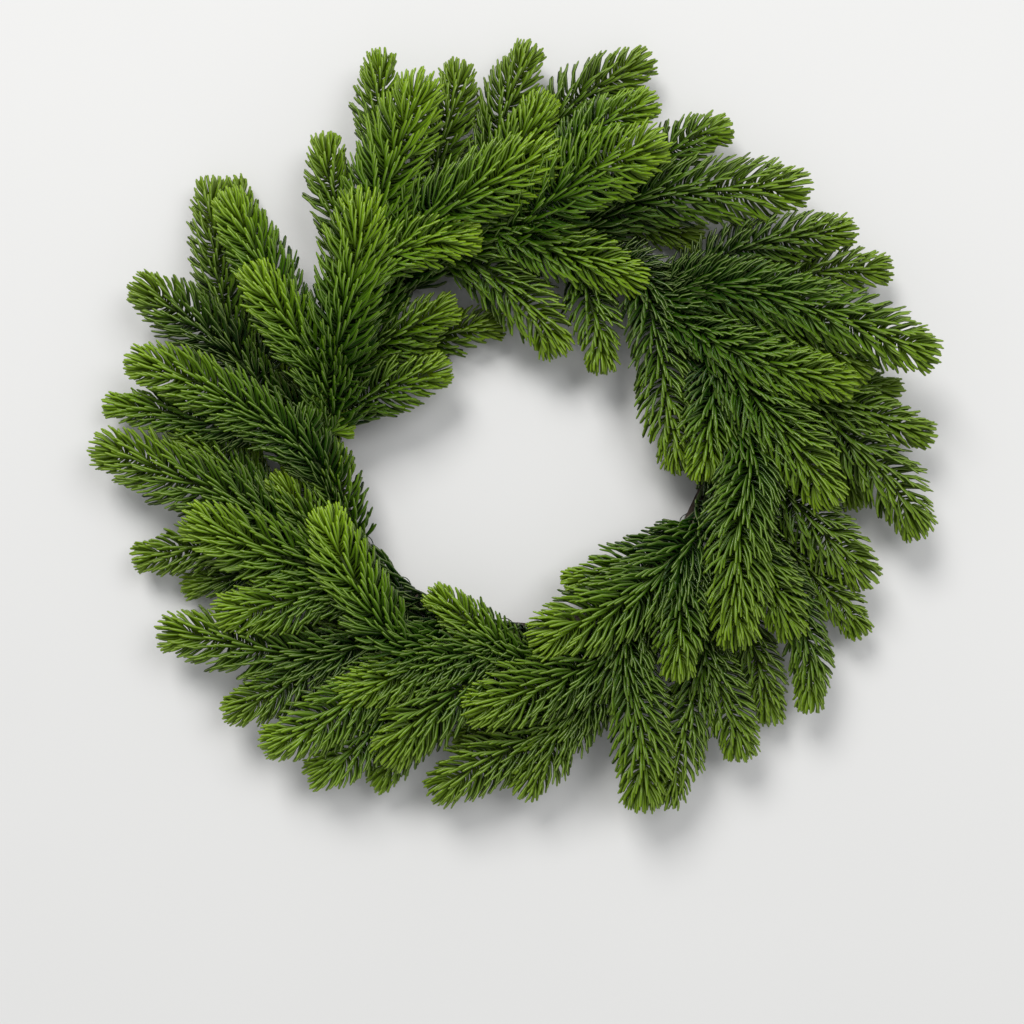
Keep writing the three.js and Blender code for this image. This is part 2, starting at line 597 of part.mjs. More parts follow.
// The stem as a closed three-sided tube, with each needle raised as a pyramid from one of its triangles.
function shootSolid(shoot) {
  const points = shoot.sections.flatMap((s) => s.corners);
  const faces = [];
  const raise = (corners, tip) => {
    if (!tip) {
      faces.push(corners);
      return;
    }
    const top = points.push(tip) - 1;
    const [a, b, c] = corners;
    faces.push([a, b, top], [b, c, top], [c, a, top]);
  };
  const last = shoot.sections.length - 1;
  faces.push([2, 1, 0]);
  for (let i = 0; i < last; i++) {
    facesBetween(3, i, i + 1).forEach((face, k) => {
      const corners = face.map(([s, c]) => s * 3 + c);
      const root = corners.map((c) => points[c]);
      raise(corners, shoot.stops[i].whorl ? whorlTip(shoot, i, root, k % 2 === 0) : null);
    });
  }
  const end = [last * 3, last * 3 + 1, last * 3 + 2];
  const tipSection = shoot.sections[last];
  raise(end, needleTip(shoot, tipSection, tipSection.centre.clone(), Math.PI / 2, 0));
  return solidFrom(points, faces);
}

const wreath = new THREE.Group();
const belowSurface = solidFromGeometry(
  new THREE.BoxGeometry(4 * RING_RADIUS, 4 * RING_RADIUS, CUT_THICKNESS).translate(0, 0, -CUT_THICKNESS / 2),
);
canes.forEach(({ line, middles }, i) => {
  const cane = closedTube(line, middles, CANE_RADIUS, CANE_SIDES).subtract(belowSurface);
  wreath.add(meshFrom(cane, `ring_cane_${i + 1}`, "cane"));
  addLine(line, CANE_RADIUS, "cane");
});
wreath.add(meshFrom(closedTube(wire.line, wire.middles, WIRE_RADIUS, WIRE_SIDES), "binding_wire", "wire"));
addLine(wire.line, WIRE_RADIUS, "wire");

const shoots = startShoots();
settle(shoots);
shoots.forEach(buildStem);
const solids = new Map();
for (const shoot of [...shoots].sort((a, b) => b.layer - a.layer)) solids.set(shoot, shootSolid(shoot));
SPRAYS.forEach(([, [layer]], spray) => {
  const own = shoots.filter((shoot) => shoot.spray === spray).map((shoot) => solids.get(shoot));
  const joined = own.reduce((whole, next) => whole.add(next));
  wreath.add(meshFrom(joined, `spray_${String(spray + 1).padStart(2, "0")}`, Math.round(layer)));
});

const box = new THREE.Box3().setFromObject(wreath);
const middle = box.getCenter(new THREE.Vector3());
wreath.position.set(-middle.x, -middle.y, -box.min.z);

export default wreath;
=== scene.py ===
# %% [markdown]
# # A fresh evergreen wreath
#
# Three vine canes are twisted into a ring. Sprays of a long-needled fir are laid on it in bunches, each bunch
# hides the feet of its neighbour, and a thin green wire goes round once for each bunch. The tips point
# clockwise and most of them outwards, so the wreath seems to turn.
#
# The solids of the ring and the sprays come first, as a frame. This scene keeps every stem where its solid
# has it, and grows the fine needles on it: some twenty thousand, each a curved and blunt blade of its own.

# %% Load the frame
import json
import math

import bpy
import numpy as np
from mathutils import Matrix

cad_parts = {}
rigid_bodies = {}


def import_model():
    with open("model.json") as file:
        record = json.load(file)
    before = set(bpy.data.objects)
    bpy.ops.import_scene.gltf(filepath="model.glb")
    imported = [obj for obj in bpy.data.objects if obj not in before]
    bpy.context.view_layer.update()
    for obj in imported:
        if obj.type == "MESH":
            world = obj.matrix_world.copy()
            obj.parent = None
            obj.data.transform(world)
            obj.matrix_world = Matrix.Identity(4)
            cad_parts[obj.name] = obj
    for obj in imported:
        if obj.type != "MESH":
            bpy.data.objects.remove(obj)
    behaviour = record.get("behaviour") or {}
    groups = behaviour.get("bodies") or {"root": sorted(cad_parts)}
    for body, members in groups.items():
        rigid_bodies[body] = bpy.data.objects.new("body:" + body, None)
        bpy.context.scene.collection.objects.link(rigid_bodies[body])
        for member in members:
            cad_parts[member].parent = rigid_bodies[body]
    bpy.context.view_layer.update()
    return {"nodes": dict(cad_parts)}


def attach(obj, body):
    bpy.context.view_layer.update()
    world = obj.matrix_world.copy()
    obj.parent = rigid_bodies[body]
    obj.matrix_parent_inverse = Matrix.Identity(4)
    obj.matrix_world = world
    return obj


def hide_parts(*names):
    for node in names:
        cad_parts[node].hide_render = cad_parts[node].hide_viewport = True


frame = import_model()

# %% [markdown]
# ## The ring as a path
#
# Everything is bound to the ring, so a place on it is the natural way to say where a thing is. `turn` runs
# clockwise from the top of the wreath, `around` runs round the bundle of canes from straight up towards the
# outside, and `reach` is the distance from the bundle's middle. Lengths are in metres.

# %% A place on the ring
RING_RADIUS = 0.152
CANE_COUNT = 3
CANE_TWISTS = 7
CANE_RADIUS = 0.0032
LAY_RADIUS = 0.0039
CANE_STEPS = 56
FLAT_DEPTH = 0.0008
BUNDLE_HEIGHT = LAY_RADIUS + CANE_RADIUS - FLAT_DEPTH
BUNCH_COUNT = CANE_COUNT * CANE_TWISTS
FULL_TURN = 2 * math.pi
BUNCH_PITCH = FULL_TURN / BUNCH_COUNT

cane_corners = [
    vertex.co[:]
    for index in range(CANE_COUNT)
    for vertex in frame["nodes"][f"ring_cane_{index + 1}"].data.vertices
]
ring_middle = np.array([*np.mean(cane_corners, axis=0)[:2], 0.0])


def bundle_point(turn, around, reach):
    turn, around, reach = np.broadcast_arrays(*np.atleast_1d(turn, around, reach))
    out = RING_RADIUS + reach * np.sin(around)
    height = BUNDLE_HEIGHT + reach * np.cos(around)
    return np.column_stack([out * np.sin(turn), out * np.cos(turn), height])


def cane_line(cane, steps):
    turn = np.arange(steps) * FULL_TURN / steps
    return bundle_point(turn, math.pi + FULL_TURN * cane / CANE_COUNT + CANE_TWISTS * turn, LAY_RADIUS)


cane_lines = [cane_line(cane, CANE_STEPS) for cane in range(CANE_COUNT)]
print("ring's middle:", np.round(ring_middle, 4), "canes:", len(cane_lines))

# %% [markdown]
# ## The wire as a path
#
# The wire makes one turn round the bundle for each bunch of sprays. It passes below the ring in the hollows
# between the canes and bulges over the stems on top, so its reach changes in eight steps of every turn.

# %% The wire's line
WIRE_RADIUS = 0.0004
WIRE_REACH = np.array([12.3, 12.3, 9.6, 8.4, 5.6, 8.4, 9.6, 12.3]) / 1000


def wire_line():
    steps = len(WIRE_REACH)
    index = np.arange(BUNCH_COUNT * steps)
    return bundle_point(BUNCH_PITCH * index / steps, FULL_TURN * index / steps, WIRE_REACH[index % steps])


wire = wire_line()
print("wire:", len(wire), "points")

# %% [markdown]
# ## Where each spray grows
#
# A wreath is drawn by its maker's hand, so the sprays are a list and not a formula. Each entry has the bunch
# that binds the spray, then its shoots. A shoot is its height layer (1 at the back, 5 in front), half its
# width in pixels, and its line from foot to tip in pixels of the view straight down. The first shoot is
# bound to the ring, and the others fork from it. A layer between two whole ones settles which of two
# crossing sprays lies on top.

# %% The sprays
SPRAYS = [
    [0, [3, 25, [[580, 268], [588, 295], [598, 328], [602, 375]]]],
    [0, [3, 33, [[590, 222], [630, 202], [701, 191], [762, 190], [811, 186]]],
      [2, 24, [[612, 209], [650, 168], [697, 136], [734, 128]]]],
    [0, [1, 22, [[585, 225], [620, 215], [660, 228], [704, 242]]]],
    [1, [3, 28, [[640, 275], [648, 300], [659, 350], [670, 420], [684, 474]]]],
    [1, [2, 25, [[655, 285], [720, 298], [800, 275], [850, 270], [893, 270]]],
      [3, 25, [[685, 293], [705, 268], [762, 243], [813, 235], [857, 231]]]],
    [2, [4.8, 26, [[690, 325], [725, 345], [780, 368], [820, 378], [857, 387]]],
      [4, 20, [[722, 344], [770, 345], [820, 355]]]],
    [2, [4, 26, [[695, 298], [735, 300], [790, 328], [830, 350], [873, 376]]]],
    [2, [5, 30, [[705, 285], [765, 293], [830, 315], [872, 330], [906, 345], [940, 358]]]],
    [3, [4.5, 33, [[712, 347], [743, 384], [776, 422], [808, 464], [834, 508]]],
      [4, 28, [[716, 351], [713, 400], [708, 440], [703, 485]]],
      [2, 16, [[710, 345], [694, 352], [684, 370]]]],
    [3, [3, 31, [[740, 365], [780, 385], [830, 422], [876, 466], [902, 499], [922, 538]]],
      [1, 22, [[815, 408], [834, 438], [847, 477], [859, 509]]]],
    [3, [3, 23, [[722, 343], [760, 362], [810, 388], [868, 414], [899, 426], [934, 438]]],
      [2, 20, [[790, 377], [830, 384], [870, 388], [902, 392]]]],
    [4, [5, 34, [[745, 430], [750, 465], [741, 510], [738, 550], [735, 600], [738, 650]]]],
    [4, [2, 24, [[735, 440], [745, 495], [775, 535], [815, 578], [843, 606], [864, 637]]]],
    [4, [3, 30, [[750, 440], [785, 490], [818, 527], [848, 558], [874, 584]]]],
    [5, [4, 29, [[730, 480], [742, 515], [760, 565], [778, 600], [796, 640]]],
      [3, 22, [[755, 545], [783, 582], [804, 630], [811, 672], [808, 713]]]],
    [6, [5, 36, [[700, 528], [688, 545], [645, 587], [610, 609], [570, 627], [527, 640]]],
      [5, 27, [[690, 543], [683, 570], [682, 600], [679, 640], [678, 682]]],
      [3, 25, [[694, 536], [670, 547], [640, 561], [600, 576], [562, 587]]]],
    [6, [2, 24, [[722, 555], [738, 605], [754, 650], [764, 685], [773, 725]]]],
    [7, [4, 31, [[655, 595], [630, 625], [625, 660], [638, 710], [643, 760], [641, 812]]]],
    [7, [3, 26, [[698, 600], [700, 660], [688, 718], [676, 765], [663, 808]]]],
    [7, [3, 27, [[692, 600], [698, 645], [716, 682], [733, 720], [743, 762]]]],
    [8, [4.45, 34, [[620, 645], [580, 670], [540, 686], [500, 700], [461, 712]]]],
    [8, [3, 30, [[622, 650], [588, 699], [545, 733], [500, 754], [460, 775], [431, 799]]],
      [2, 24, [[602, 682], [550, 710], [500, 728], [453, 745]]]],
    [8, [3, 28, [[630, 635], [612, 668], [568, 722], [543, 760], [517, 796]]]],
    [9, [4, 24, [[570, 650], [530, 662], [490, 640], [458, 613], [426, 591]]]],
    [10, [4.4, 26, [[520, 637], [480, 650], [410, 672], [370, 685], [336, 695]]]],
    [10, [4, 34, [[505, 657], [470, 682], [430, 710], [405, 735], [381, 764]]],
      [2, 22, [[460, 690], [428, 720], [396, 758], [374, 789]]]],
    [11, [2, 25, [[430, 620], [400, 627], [350, 634], [310, 642], [272, 655]]],
      [3, 26, [[360, 632], [325, 652], [290, 682], [255, 702], [222, 713]]]],
    [11, [5, 30, [[438, 645], [405, 648], [378, 618], [362, 592], [340, 555], [323, 504]]]],
    [11, [4, 30, [[435, 655], [380, 682], [330, 715], [295, 735], [260, 742]]],
      [3, 28, [[420, 665], [392, 705], [362, 741], [335, 764], [305, 776]]]],
    [12, [4, 34, [[375, 584], [320, 568], [270, 552], [230, 536], [182, 516]]]],
    [12, [4, 30, [[380, 594], [330, 590], [290, 600], [250, 609], [212, 613]]]],
    [12, [3, 30, [[395, 625], [350, 650], [300, 655], [230, 643], [190, 634], [157, 635]]]],
    [13, [2.5, 24, [[358, 556], [352, 538], [339, 490], [329, 455], [320, 426]]]],
    [13, [3, 26, [[348, 560], [325, 545], [295, 500], [272, 472]]]],
    [13, [3, 32, [[335, 545], [305, 535], [270, 520], [225, 495], [180, 478], [120, 453], [91, 451]]],
      [2, 24, [[290, 528], [275, 510], [245, 480], [215, 455], [172, 425]]],
      [1, 16, [[265, 518], [255, 480], [250, 440]]]],
    [13, [2, 25, [[335, 570], [290, 560], [250, 549], [210, 546], [170, 553], [132, 559]]],
      [1, 18, [[280, 558], [250, 572], [205, 583], [183, 588]]]],
    [14, [1, 24, [[325, 480], [303, 455], [292, 430], [287, 390], [283, 345]]]],
    [14, [4, 28, [[325, 475], [300, 446], [250, 411], [200, 384], [160, 368], [125, 360]]],
      [2, 20, [[270, 424], [230, 425], [200, 420], [150, 410], [103, 405]]],
      [4, 16, [[300, 446], [312, 412], [324, 385]]],
      [3, 16, [[313, 457], [328, 430], [355, 428]]]],
    [15, [3, 27, [[338, 427], [350, 406], [382, 390], [420, 377], [452, 365]]]],
    [15, [5, 29, [[332, 410], [320, 368], [287, 320], [265, 290], [247, 263]]],
      [4, 29, [[310, 354], [297, 335], [276, 290], [246, 233], [223, 190]]]],
    [15, [2, 25, [[318, 430], [270, 395], [242, 362], [225, 310], [215, 240], [210, 176]]],
      [1, 22, [[255, 380], [262, 345], [262, 300], [247, 230], [231, 177]]],
      [3, 31, [[245, 368], [218, 342], [183, 315], [153, 295], [131, 285]]]],
    [16, [1, 25, [[360, 372], [400, 354], [450, 333], [480, 327], [507, 327]]]],
    [16, [3, 27, [[348, 372], [370, 348], [400, 333], [430, 316], [460, 304]]],
      [2, 20, [[360, 360], [385, 356], [410, 353], [440, 347]]]],
    [16, [5, 27, [[348, 355], [348, 310], [360, 277], [391, 253], [432, 242], [484, 236]]]],
    [16, [5.4, 35, [[335, 375], [335, 355], [347, 300], [359, 240], [364, 187]]]],
    [17, [4.5, 37, [[368, 300], [370, 260], [375, 215], [395, 155], [412, 110], [427, 72]]]],
    [17, [3, 25, [[355, 315], [352, 275], [336, 205], [328, 170], [325, 132]]]],
    [18, [3, 30, [[420, 262], [446, 250], [480, 266], [511, 290], [541, 320], [562, 358]]]],
    [18, [4.7, 36, [[407, 262], [418, 228], [438, 212], [483, 187], [524, 167], [565, 152]]]],
    [18, [2, 27, [[410, 265], [423, 215], [440, 150], [455, 100], [460, 60]]]],
    [18, [3, 25, [[392, 262], [388, 215], [381, 130], [379, 90], [381, 50]]]],
    [19, [3.6, 28, [[460, 240], [488, 225], [544, 246], [587, 260], [648, 286]]]],
    [19, [3.8, 28, [[480, 215], [508, 165], [532, 125], [549, 93]]]],
    [19, [2, 28, [[465, 225], [486, 175], [507, 105], [518, 75], [533, 43]]]],
    [20, [4.6, 40, [[515, 230], [537, 212], [581, 177], [615, 161], [668, 140]]],
      [4, 25, [[552, 203], [570, 155], [600, 125], [659, 100]]]],
    [20, [2, 29, [[500, 215], [522, 170], [555, 122], [579, 97], [615, 77], [653, 57]]]],
]
shoot_count = sum(len(spray) - 1 for spray in SPRAYS)
print("sprays:", len(SPRAYS), "shoots:", shoot_count)

# %% [markdown]
# ## From the view to the real place
#
# The view looks straight down from 1.2 m. What is higher is nearer to the eye and looks larger, so a pixel
# there stands for a shorter length. `place` undoes that, and gives the real place of a pixel at a height.

# %% A pixel's place
PIXEL = 0.0008
EYE_HEIGHT = 1.2
VIEW_MIDDLE = 512
RING_MIDDLE_PIXEL = (520, 440)
BELOW_LAYERS, LAYER_RISE, LAYER_SPREAD = 0.007, 0.0075, 0.0005


def layer_height(layer):
    return BELOW_LAYERS + LAYER_RISE * layer + LAYER_SPREAD * layer**2


def place(pixel_x, pixel_y, height):
    near = PIXEL * (1 - height / EYE_HEIGHT)
    ring_near = PIXEL * (1 - BUNDLE_HEIGHT / EYE_HEIGHT)
    x = (pixel_x - VIEW_MIDDLE) * near - (RING_MIDDLE_PIXEL[0] - VIEW_MIDDLE) * ring_near
    y = (VIEW_MIDDLE - pixel_y) * near - (VIEW_MIDDLE - RING_MIDDLE_PIXEL[1]) * ring_near
    return np.array([x, y, height])


print("layers at", [round(layer_height(layer), 4) for layer in range(1, 6)])

# %% [markdown]
# ## Smooth lines
#
# A stem bends evenly. A centripetal Catmull-Rom curve passes through every point that it is given without
# overshooting where the points crowd together, which suits lines that are given as a list of points.

# %% Curves through points
def smooth_line(points, per_span=14):
    points = np.asarray(points, dtype=float)
    padded = np.vstack([2 * points[0] - points[1], points, 2 * points[-1] - points[-2]])
    knots = np.sqrt(np.linalg.norm(np.diff(padded, axis=0), axis=1))
    t = np.linspace(0, 1, per_span, endpoint=False)[:, None]
    spans = []
    for i in range(len(points) - 1):
        before, start, end, after = padded[i : i + 4]
        a, b, c = knots[i : i + 3]
        leave = end - start + b * ((start - before) / a - (end - before) / (a + b))
        arrive = end - start + b * ((after - end) / c - (after - start) / (b + c))
        bend = 3 * (end - start) - 2 * leave - arrive
        spans.append(start + t * (leave + t * (bend + t * (end - start - leave - bend))))
    return np.vstack([*spans, points[-1]])


def lengths_along(line):
    return np.concatenate([[0.0], np.cumsum(np.linalg.norm(np.diff(line, axis=0), axis=1))])


def points_along(line, distances):
    lengths = lengths_along(line)
    return np.column_stack([np.interp(distances, lengths, line[:, k]) for k in range(3)])


def evenly(points, step):
    line = smooth_line(points)
    length = lengths_along(line)[-1]
    return points_along(line, np.linspace(0, length, max(2, round(length / step)) + 1))


print("a test line:", np.round(evenly([[0, 0, 0], [1, 0, 0], [1, 1, 0]], 1.0), 2).tolist())

# %% [markdown]
# ## The feet of the sprays
#
# A spray's foot lies on the canes below the wire, and leaves the ring between two turns of the wire. How far
# out it lies is found by halving: a place that touches a cane is too far in, any other is far enough out.

# %% Feet on the canes
STEM_FOOT_RADIUS = 0.0016
STEM_TIP_RADIUS = 0.0012
SEAT_GAP = 0.0002
SEAT_SPREAD = math.radians(33)
SEAT_OFFSETS = (-0.009, 0.0, 0.008)
SEAT_EXIT = 0.02
EXIT_REACH = 0.015
SEAT_TRIES = 20

cane_starts = np.vstack(cane_lines)
cane_ends = np.vstack([np.roll(line, -1, axis=0) for line in cane_lines])


def distance_to_canes(point):
    run = cane_ends - cane_starts
    share = np.sum((point - cane_starts) * run, axis=1) / np.sum(run * run, axis=1)
    nearest = cane_starts + run * np.clip(share, 0, 1)[:, None]
    return np.linalg.norm(point - nearest, axis=1).min()


def seat_reach(turn, around):
    inside, outside = LAY_RADIUS, EXIT_REACH
    clear = CANE_RADIUS + STEM_FOOT_RADIUS + SEAT_GAP
    for _ in range(SEAT_TRIES):
        middle = (inside + outside) / 2
        touches = distance_to_canes(bundle_point(turn, around, middle)[0]) < clear
        inside, outside = (middle, outside) if touches else (inside, middle)
    return outside


def foot_of(bunch, slot):
    crossing = BUNCH_PITCH * (bunch + slot / FULL_TURN)
    turns = [crossing + offset / RING_RADIUS for offset in SEAT_OFFSETS]
    on_canes = [bundle_point(turn, slot, seat_reach(turn, slot))[0] for turn in turns]
    return [*on_canes, bundle_point(crossing + SEAT_EXIT / RING_RADIUS, slot, EXIT_REACH)[0]]


print("first foot:", np.round(foot_of(0, 0.0), 4).tolist())

# %% [markdown]
# ## The shoots as lines
#
# From its foot a shoot climbs to the height of its layer and droops a little at its tip. The side shoots
# start on the main one, at its point nearest to where they were seen to fork.

# %% The lines before they settle
SAMPLE_STEP = 0.008
RISEN_BY = (0.55, 0.85)
TIP_DROOP = 0.004
FIRST_FORK = 6


def rising_line(layer, pixels, start):
    line = []
    for i, (x, y) in enumerate(pixels):
        risen = RISEN_BY[i] if i < len(RISEN_BY) else 1
        droop = TIP_DROOP if i == len(pixels) - 1 else 0
        line.append(place(x, y, start + (layer_height(layer) - start) * risen - droop))
    return line


def start_shoot(spray, layer, half_width, line, **forking):
    samples = evenly(line, SAMPLE_STEP)
    return {"spray": spray, "layer": layer, "half_width": half_width, "samples": samples, **forking}


def start_shoots():
    shoots = []
    for spray, (bunch, main, *sides) in enumerate(SPRAYS):
        mates = [i for i, other in enumerate(SPRAYS) if other[0] == bunch]
        foot = foot_of(bunch, (mates.index(spray) - (len(mates) - 1) / 2) * SEAT_SPREAD)
        layer, half_width, pixels = main
        line = [*foot, *rising_line(layer, pixels, foot[-1][2])]
        stem = start_shoot(spray, layer, half_width, line, parent=None)
        shoots.append(stem)
        for layer, half_width, pixels in sides:
            wanted = place(*pixels[0], layer_height(layer))
            fork = max(FIRST_FORK, int(np.argmin(np.hypot(*(stem["samples"] - wanted).T[:2]))))
            start = stem["samples"][fork]
            line = [start, *rising_line(layer, pixels[1:], start[2])]
            shoots.append(start_shoot(spray, layer, half_width, line, parent=stem, fork=fork))
    return shoots


shoots = start_shoots()
print("shoots:", len(shoots), "points:", sum(len(shoot["samples"]) for shoot in shoots))

# %% [markdown]
# ## Stems make room for each other
#
# On the bench the sprays are pressed in until they lie over and under one another. The same is done here: in
# many small rounds, stems that come closer than a few millimetres push each other apart, and so do the canes
# and the wire. The feet are held by the wire, so they stay.

# %% What the stems keep clear of
CANE_SPACING = 0.0054
WIRE_SPACING = 0.003
WALL_SHARES = (0, 0.25, 0.5, 0.75)
NEAR_ENOUGH = 0.02


def wall_points():
    points, gaps = [], []
    for line, gap in [*[(line, CANE_SPACING) for line in cane_lines], (wire, WIRE_SPACING)]:
        after = np.roll(line, -1, axis=0)
        points += [line + (after - line) * share for share in WALL_SHARES]
        gaps += [np.full(len(WALL_SHARES) * len(line), gap)]
    return np.vstack(points), np.concatenate(gaps)


def close_pairs(one, two, allowed):
    apart = np.linalg.norm(one[:, None] - two[None], axis=2)
    return np.nonzero((apart < NEAR_ENOUGH) & allowed)


print("points on the canes and the wire:", len(wall_points()[0]))

# %% [markdown]
# ## Settle them
#
# Each round adds up the pushes on every point and shares them with its neighbours, so a stem bends and
# doesn't kink. What is near what is looked up in every tenth round only, because that takes the most time.
# Blender's own physics could do this too, but the same rounds placed the solids, so both agree.

# %% Settle the stems
SETTLE_ROUNDS = 140
SETTLE_LOOK = 10
STEM_SPACING = 0.0072
LEVEL_GAP = 0.001
HELD_LENGTH = 0.03
FREEING_LENGTH = 0.016
LOWEST_STEM = 0.004


def smoothstep(value, low, high):
    share = np.clip((value - low) / (high - low), 0, 1)
    return share * share * (3 - 2 * share)


def settle(shoots):
    owner = np.concatenate([np.full(len(shoot["samples"]), i) for i, shoot in enumerate(shoots)])
    spray = np.array([shoot["spray"] for shoot in shoots])[owner]
    layer = np.array([shoot["layer"] for shoot in shoots])[owner]
    first = np.concatenate([[0], np.cumsum([len(shoot["samples"]) for shoot in shoots])])
    points = np.vstack([shoot["samples"] for shoot in shoots])
    along = np.concatenate([np.arange(len(shoot["samples"])) * SAMPLE_STEP for shoot in shoots])
    held = np.array([0.0 if shoot["parent"] else HELD_LENGTH for shoot in shoots])[owner]
    freedom = smoothstep(along, held, held + FREEING_LENGTH)[:, None]
    walls, gaps = wall_points()
    others = (spray[:, None] != spray[None]) & (owner[:, None] < owner[None])
    before = np.maximum(np.arange(len(points)) - 1, first[:-1][owner])
    after = np.minimum(np.arange(len(points)) + 1, first[1:][owner] - 1)
    for step in range(SETTLE_ROUNDS):
        if step % SETTLE_LOOK == 0:
            one, two = close_pairs(points, points, others)
            near, wall = close_pairs(points, walls, True)
        moves = np.zeros_like(points)
        apart = points[one] - points[two]
        gap = np.linalg.norm(apart, axis=1)
        level = np.abs(apart[:, 2]) < LEVEL_GAP
        apart[level, 2] = np.where(layer[one] >= layer[two], LEVEL_GAP, -LEVEL_GAP)[level]
        apart *= (np.maximum(STEM_SPACING - gap, 0) / 2 / np.linalg.norm(apart, axis=1))[:, None]
        np.add.at(moves, one, apart)
        np.add.at(moves, two, -apart)
        apart = points[near] - walls[wall]
        gap = np.linalg.norm(apart, axis=1)
        np.add.at(moves, near, apart * (np.maximum(gaps[wall] - gap, 0) / gap)[:, None])
        points += freedom * (2 * moves + moves[before] + moves[after]) / 4
        free = freedom[:, 0] > 0
        points[free, 2] = np.maximum(points[free, 2], LOWEST_STEM)
        for i, shoot in enumerate(shoots):
            if shoot["parent"]:
                parent = shoots.index(shoot["parent"])
                points[first[i]] = points[first[parent] + shoot["fork"]]
    for i, shoot in enumerate(shoots):
        shoot["samples"] = points[first[i] : first[i + 1]]


settle(shoots)
print("settled, highest stem point:", round(max(shoot["samples"][:, 2].max() for shoot in shoots), 4))

# %% [markdown]
# ## Twigs
#
# The wood of a shoot ends before the brush of needles at its tip, and it is bare where it is bound or where
# it forks. Its own frame goes along with it: `tangent` along the stem, `side` level across it and `up`
# square to both. Needles and the twig's bark are built from that frame, so they follow every bend.

# %% The twigs' lines and frames
LEAST_NEEDLE = 0.025
MOST_NEEDLE = 0.036
NEEDLE_PER_HALF_WIDTH = 1.3
END_NEEDLE_SHARE = 0.64
BARE_FOOT = 0.028
BARE_FORK = 0.004
LEAST_LEAFY = 0.0086
LOOK_AHEAD = 0.001


def finish_stem(shoot):
    shoot["line"] = smooth_line(shoot["samples"])
    full = lengths_along(shoot["line"])[-1]
    half_width = shoot["half_width"] * PIXEL
    shoot["needle"] = min(max(half_width * NEEDLE_PER_HALF_WIDTH, LEAST_NEEDLE), MOST_NEEDLE)
    shoot["bare"] = BARE_FORK if shoot["parent"] else BARE_FOOT
    wanted = full - shoot["needle"] * END_NEEDLE_SHARE
    shoot["full"] = full
    shoot["length"] = min(max(wanted, shoot["bare"] + LEAST_LEAFY), full - LOOK_AHEAD)


def frames_along(shoot, distances):
    centre = points_along(shoot["line"], distances)
    ahead = points_along(shoot["line"], np.asarray(distances) + LOOK_AHEAD)
    behind = points_along(shoot["line"], np.asarray(distances) - LOOK_AHEAD)
    tangent = normalised(ahead - behind)
    up = normalised(np.array([0.0, 0.0, 1.0]) - tangent * tangent[:, 2:])
    side = np.cross(tangent, up)
    radius = STEM_FOOT_RADIUS + (STEM_TIP_RADIUS - STEM_FOOT_RADIUS) * np.asarray(distances) / shoot["full"]
    return centre, tangent, up, side, radius


def normalised(vectors):
    return vectors / np.linalg.norm(vectors, axis=-1, keepdims=True)


for shoot in shoots:
    finish_stem(shoot)
leafy_length = sum(shoot["length"] - shoot["bare"] for shoot in shoots)
print("leafy length in all:", round(leafy_length, 2), "m")

# %% [markdown]
# ## Meshes from arrays
#
# Twenty thousand needles are too many to make one at a time. Every needle has the same rings of corners, so
# all those of a shoot can be worked out at once as one array, and the faces are one pattern repeated.
# `add_mesh` turns such arrays into an object, and keeps a few numbers per corner for the materials.

# %% Tubes and meshes
NO_TRIANGLES = np.zeros((0, 3), dtype=int)


def tube_faces(count, rings, sides):
    ring, corner = np.meshgrid(np.arange(rings - 1), np.arange(sides), indexing="ij")
    after = (corner + 1) % sides
    here, next_ring = ring * sides, (ring + 1) * sides
    quads = np.stack([here + corner, here + after, next_ring + after, next_ring + corner], -1)
    tubes = np.arange(count)[:, None, None] * rings * sides
    return (quads.reshape(1, -1, 4) + tubes).reshape(-1, 4)


def add_mesh(name, points, quads, triangles, numbers, material):
    mesh = bpy.data.meshes.new(name)
    mesh.vertices.add(len(points))
    mesh.vertices.foreach_set("co", (points + ring_middle).astype(np.float32).ravel())
    corners = np.concatenate([quads.ravel(), triangles.ravel()])
    sizes = np.concatenate([np.full(len(quads), 4), np.full(len(triangles), 3)])
    mesh.loops.add(len(corners))
    mesh.loops.foreach_set("vertex_index", corners.astype(np.int32))
    mesh.polygons.add(len(sizes))
    mesh.polygons.foreach_set("loop_start", (np.cumsum(sizes) - sizes).astype(np.int32))
    mesh.polygons.foreach_set("use_smooth", np.ones(len(sizes), dtype=bool))
    for key, values in numbers.items():
        attribute = mesh.attributes.new(key, "FLOAT", "POINT")
        attribute.data.foreach_set("value", np.asarray(values, dtype=np.float32))
    mesh.update(calc_edges=True)
    mesh.materials.append(material)
    made = bpy.data.objects.new(name, mesh)
    bpy.context.scene.collection.objects.link(made)
    return made


print("a tube of 4 rings with 6 corners has", len(tube_faces(1, 4, 6)), "faces")
